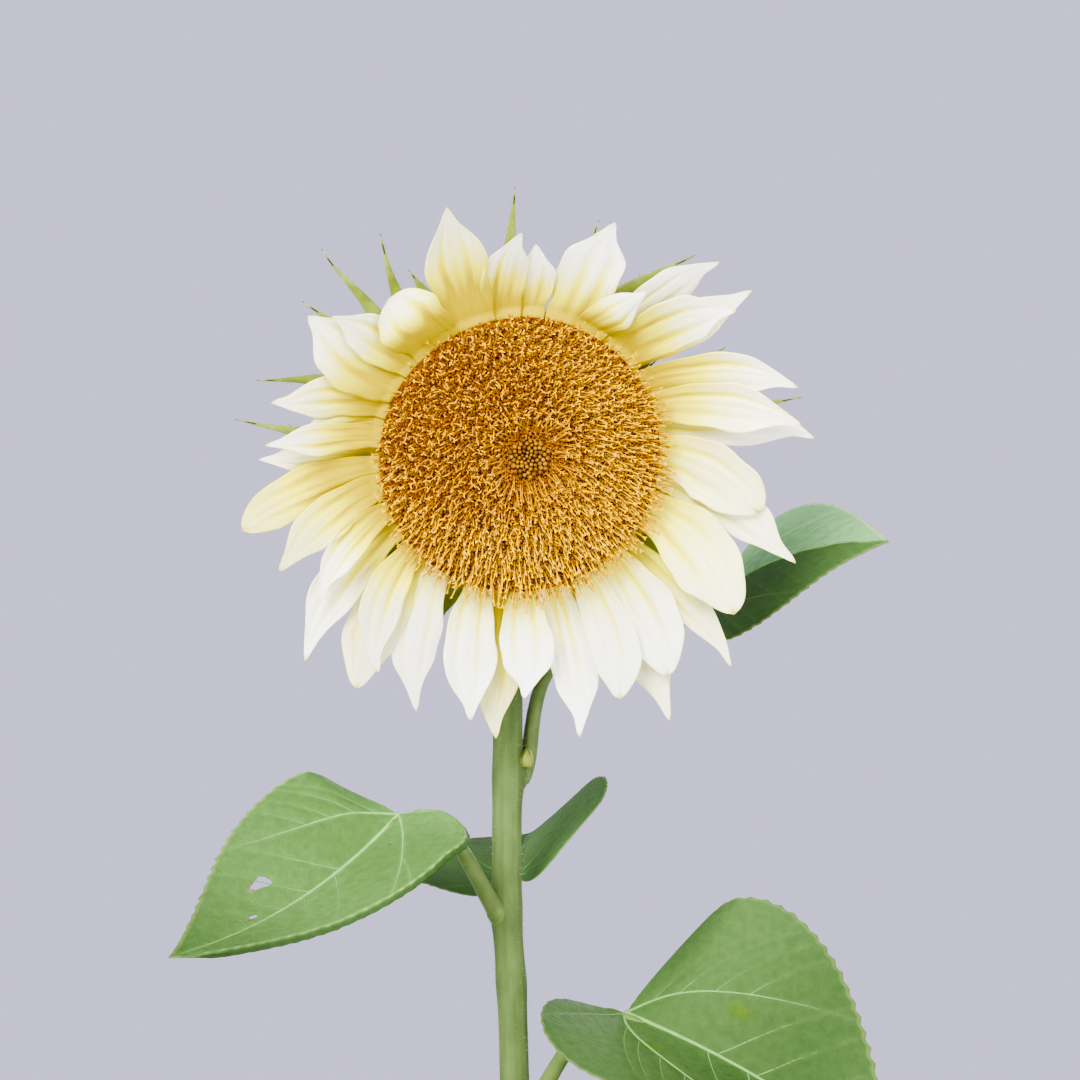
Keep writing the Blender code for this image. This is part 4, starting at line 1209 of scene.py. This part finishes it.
def bract_surface(bract, t, v):
    """Points of a bract: broad at its root in the calyx, with a long drawn-out tip."""
    seat_radius, seat_height, top = (value * MM for value in BRACT_ROWS[bract.row][:3])
    middle, side = bent_midline(seat_radius, math.radians(bract.root_angle),
                                bract.reach * MM, math.radians(bract.tip_angle), t)
    half = 0.5 * bract.width * MM * ((1 - t) ** 1.75 * (1 + 1.75 * t)) + 0.16 * MM
    flat = middle + side * (v * half + bract.hook * MM * smoothstep(0.55, 1, t) * t)[..., None]
    x, y = flat[..., 0], flat[..., 1]
    lean_back = 2.5 * MM * t * t * (1 - 0.5 * y / np.hypot(x, y))
    rise = (1 - (1 - t) ** 2) * (top - seat_height)
    keel = -0.16 * half * v * v + 0.25 * MM * bell(v, 0.16) * (1 - t)
    curl = abs(bract.hook) * 0.5 * MM * smoothstep(0.7, 1, t)
    return np.stack([x, y, seat_height + rise - lean_back + keel + curl], -1)


def make_calyx():
    """The cup behind the flower, then its bracts with dark thread-like tips and hairy edges."""
    profile = smooth_route([(r * MM, z * MM) for r, z in CALYX_CUP_MM], 5)
    turn = np.linspace(0, FULL_TURN, CALYX_COLUMNS)
    wobble = 1 + 0.012 * np.sin(21 * turn)
    calyx = piece("calyx_cup", revolved(profile[:, :1] * wobble, profile[:, 1:], turn),
                  grid_faces(len(profile), CALYX_COLUMNS), ["calyx"], "calyx_green", place=HEAD_FRAME)
    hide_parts("calyx")

    blades, tips, roots, ways = [], [], [], []
    t, v = strip(*BRACT_GRID)
    for bract in all_bracts():
        blades.append((bract_surface(bract, t, v), grid_faces(*t.shape)))
        thread = bract_surface(bract, np.linspace(0.90, 1, 7), np.zeros(7))
        drawn = unit(thread[-1] - thread[-2])
        thread = np.concatenate([thread, [thread[-1] + drawn * 0.8 * MM]])
        tips.append(tubes(thread[None], BRACT_TIP_RADII, 6, np.array((0.1, 0.2, 1))))
        count = BRACT_ROWS[bract.row][3]
        at = rng.uniform(0.05, 0.95, count)
        edge = rng.choice((-1, 1), count)
        root = bract_surface(bract, at, edge)
        outward = unit(root - bract_surface(bract, at, edge * 0.8))
        ahead = unit(bract_surface(bract, at + 0.03, edge) - root)
        roots.append(root)
        ways.append(unit(outward + 0.8 * ahead + rng.normal(0, 0.25, root.shape)))
    bracts = piece("bracts", *join(blades), ["bract"], "calyx_green", place=HEAD_FRAME)
    solidify(bracts, BRACT_THICKNESS)
    piece("bract_tips", *join(tips), ["bract_tip"], "calyx_green", place=HEAD_FRAME)
    roots = np.concatenate(roots)
    lengths = rng.uniform(*BRACT_HAIR_LENGTHS_MM, len(roots)) * MM
    hairs("bract_hairs", roots, np.concatenate(ways), lengths, HAIR_RADIUS, "calyx_green",
          place=HEAD_FRAME)


def make_bud():
    """A small bud of overlapping scales between the stem and the uppermost petiole."""
    centre, radius = stem_at(UPPER_LEAVES[0].node_height + 5 * MM)
    x, y, z = np.array(centre) + np.array((radius + 1.3 * MM, -2.2 * MM, -2.8 * MM))
    parts = []
    t, v = strip(*BUD_GRID)
    for scale in range(BUD_SCALES):
        turn = scale * GOLDEN_ANGLE + 1.15 * (1 - 0.7 * t ** 2) * v
        girth = (1.9 - 0.12 * scale) * MM * np.sin(math.pi * (0.22 + 0.78 * t)) ** 0.8 + 0.05 * MM
        points = [x + girth * np.cos(turn), y + girth * np.sin(turn), z + (5.6 - 0.2 * scale) * MM * t]
        parts.append((np.stack(points, -1), grid_faces(*t.shape)))
    bud = piece("bud_scales", *join(parts), ["bract"], "calyx_green")
    solidify(bud, BUD_THICKNESS)
    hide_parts("axillary_bud")


# ---- stage, light, view


def make_stage():
    verts = revolved(FLOOR_RADIUS, FLOOR_HEIGHT, circle(FLOOR_SEGMENTS))
    mesh = bpy.data.meshes.new("studio_floor")
    mesh.from_pydata(verts.tolist(), [], [list(range(FLOOR_SEGMENTS))])
    mesh.materials.append(MATERIALS["floor"])
    floor = add_object("studio_floor", mesh)

    world = bpy.data.worlds.new("studio")
    bpy.context.scene.world = world
    world.use_nodes = True
    sky = world.node_tree.nodes["Background"]
    sky.inputs["Color"].default_value = SKY_COLOUR
    sky.inputs["Strength"].default_value = 1


def add_softbox(name, location, width, energy, colour):
    """A square area light that looks at the flower and is not itself seen."""
    data = bpy.data.lights.new(name, "AREA")
    data.shape = "SQUARE"
    data.size = width
    data.energy = energy
    data.color = colour
    aim = (LIT_POINT - Vector(location)).to_track_quat("-Z", "Y").to_euler()
    add_object(name, data, location, aim).visible_camera = False


def make_light():
    add_softbox("softbox_key", (-2, -6.55, 4.25), 2.6, 1600, DAYLIGHT)
    add_softbox("softbox_left", (-5.5, -2, 1.5), 2.4, 180, DAYLIGHT)
    add_softbox("softbox_right", (4.4, -5.2, 1.3), 2.4, 380, (1, 1, 0.98))
    add_softbox("softbox_back", (2.6, 5.8, 3), 3, 270, (1, 0.99, 0.97))


def make_camera():
    bpy.context.scene.view_settings.look = "AgX - Medium High Contrast"
    data = bpy.data.cameras.new("camera")
    data.sensor_width = SENSOR_WIDTH
    data.lens = SENSOR_WIDTH * CAMERA_DISTANCE / (PICTURE_WIDTH * PIXEL)
    data.clip_start = 0.05
    level = (math.radians(90), 0, 0)
    bpy.context.scene.camera = add_object("camera", data, CAMERA_PLACE, level)


make_camera()
make_stem(make_leaves())
for rank, ray in enumerate(RAYS, 1):
    make_petal(rank, ray, rng.uniform(0, 1, 8))
make_disc()
make_calyx()
make_bud()
make_stage()
make_light()
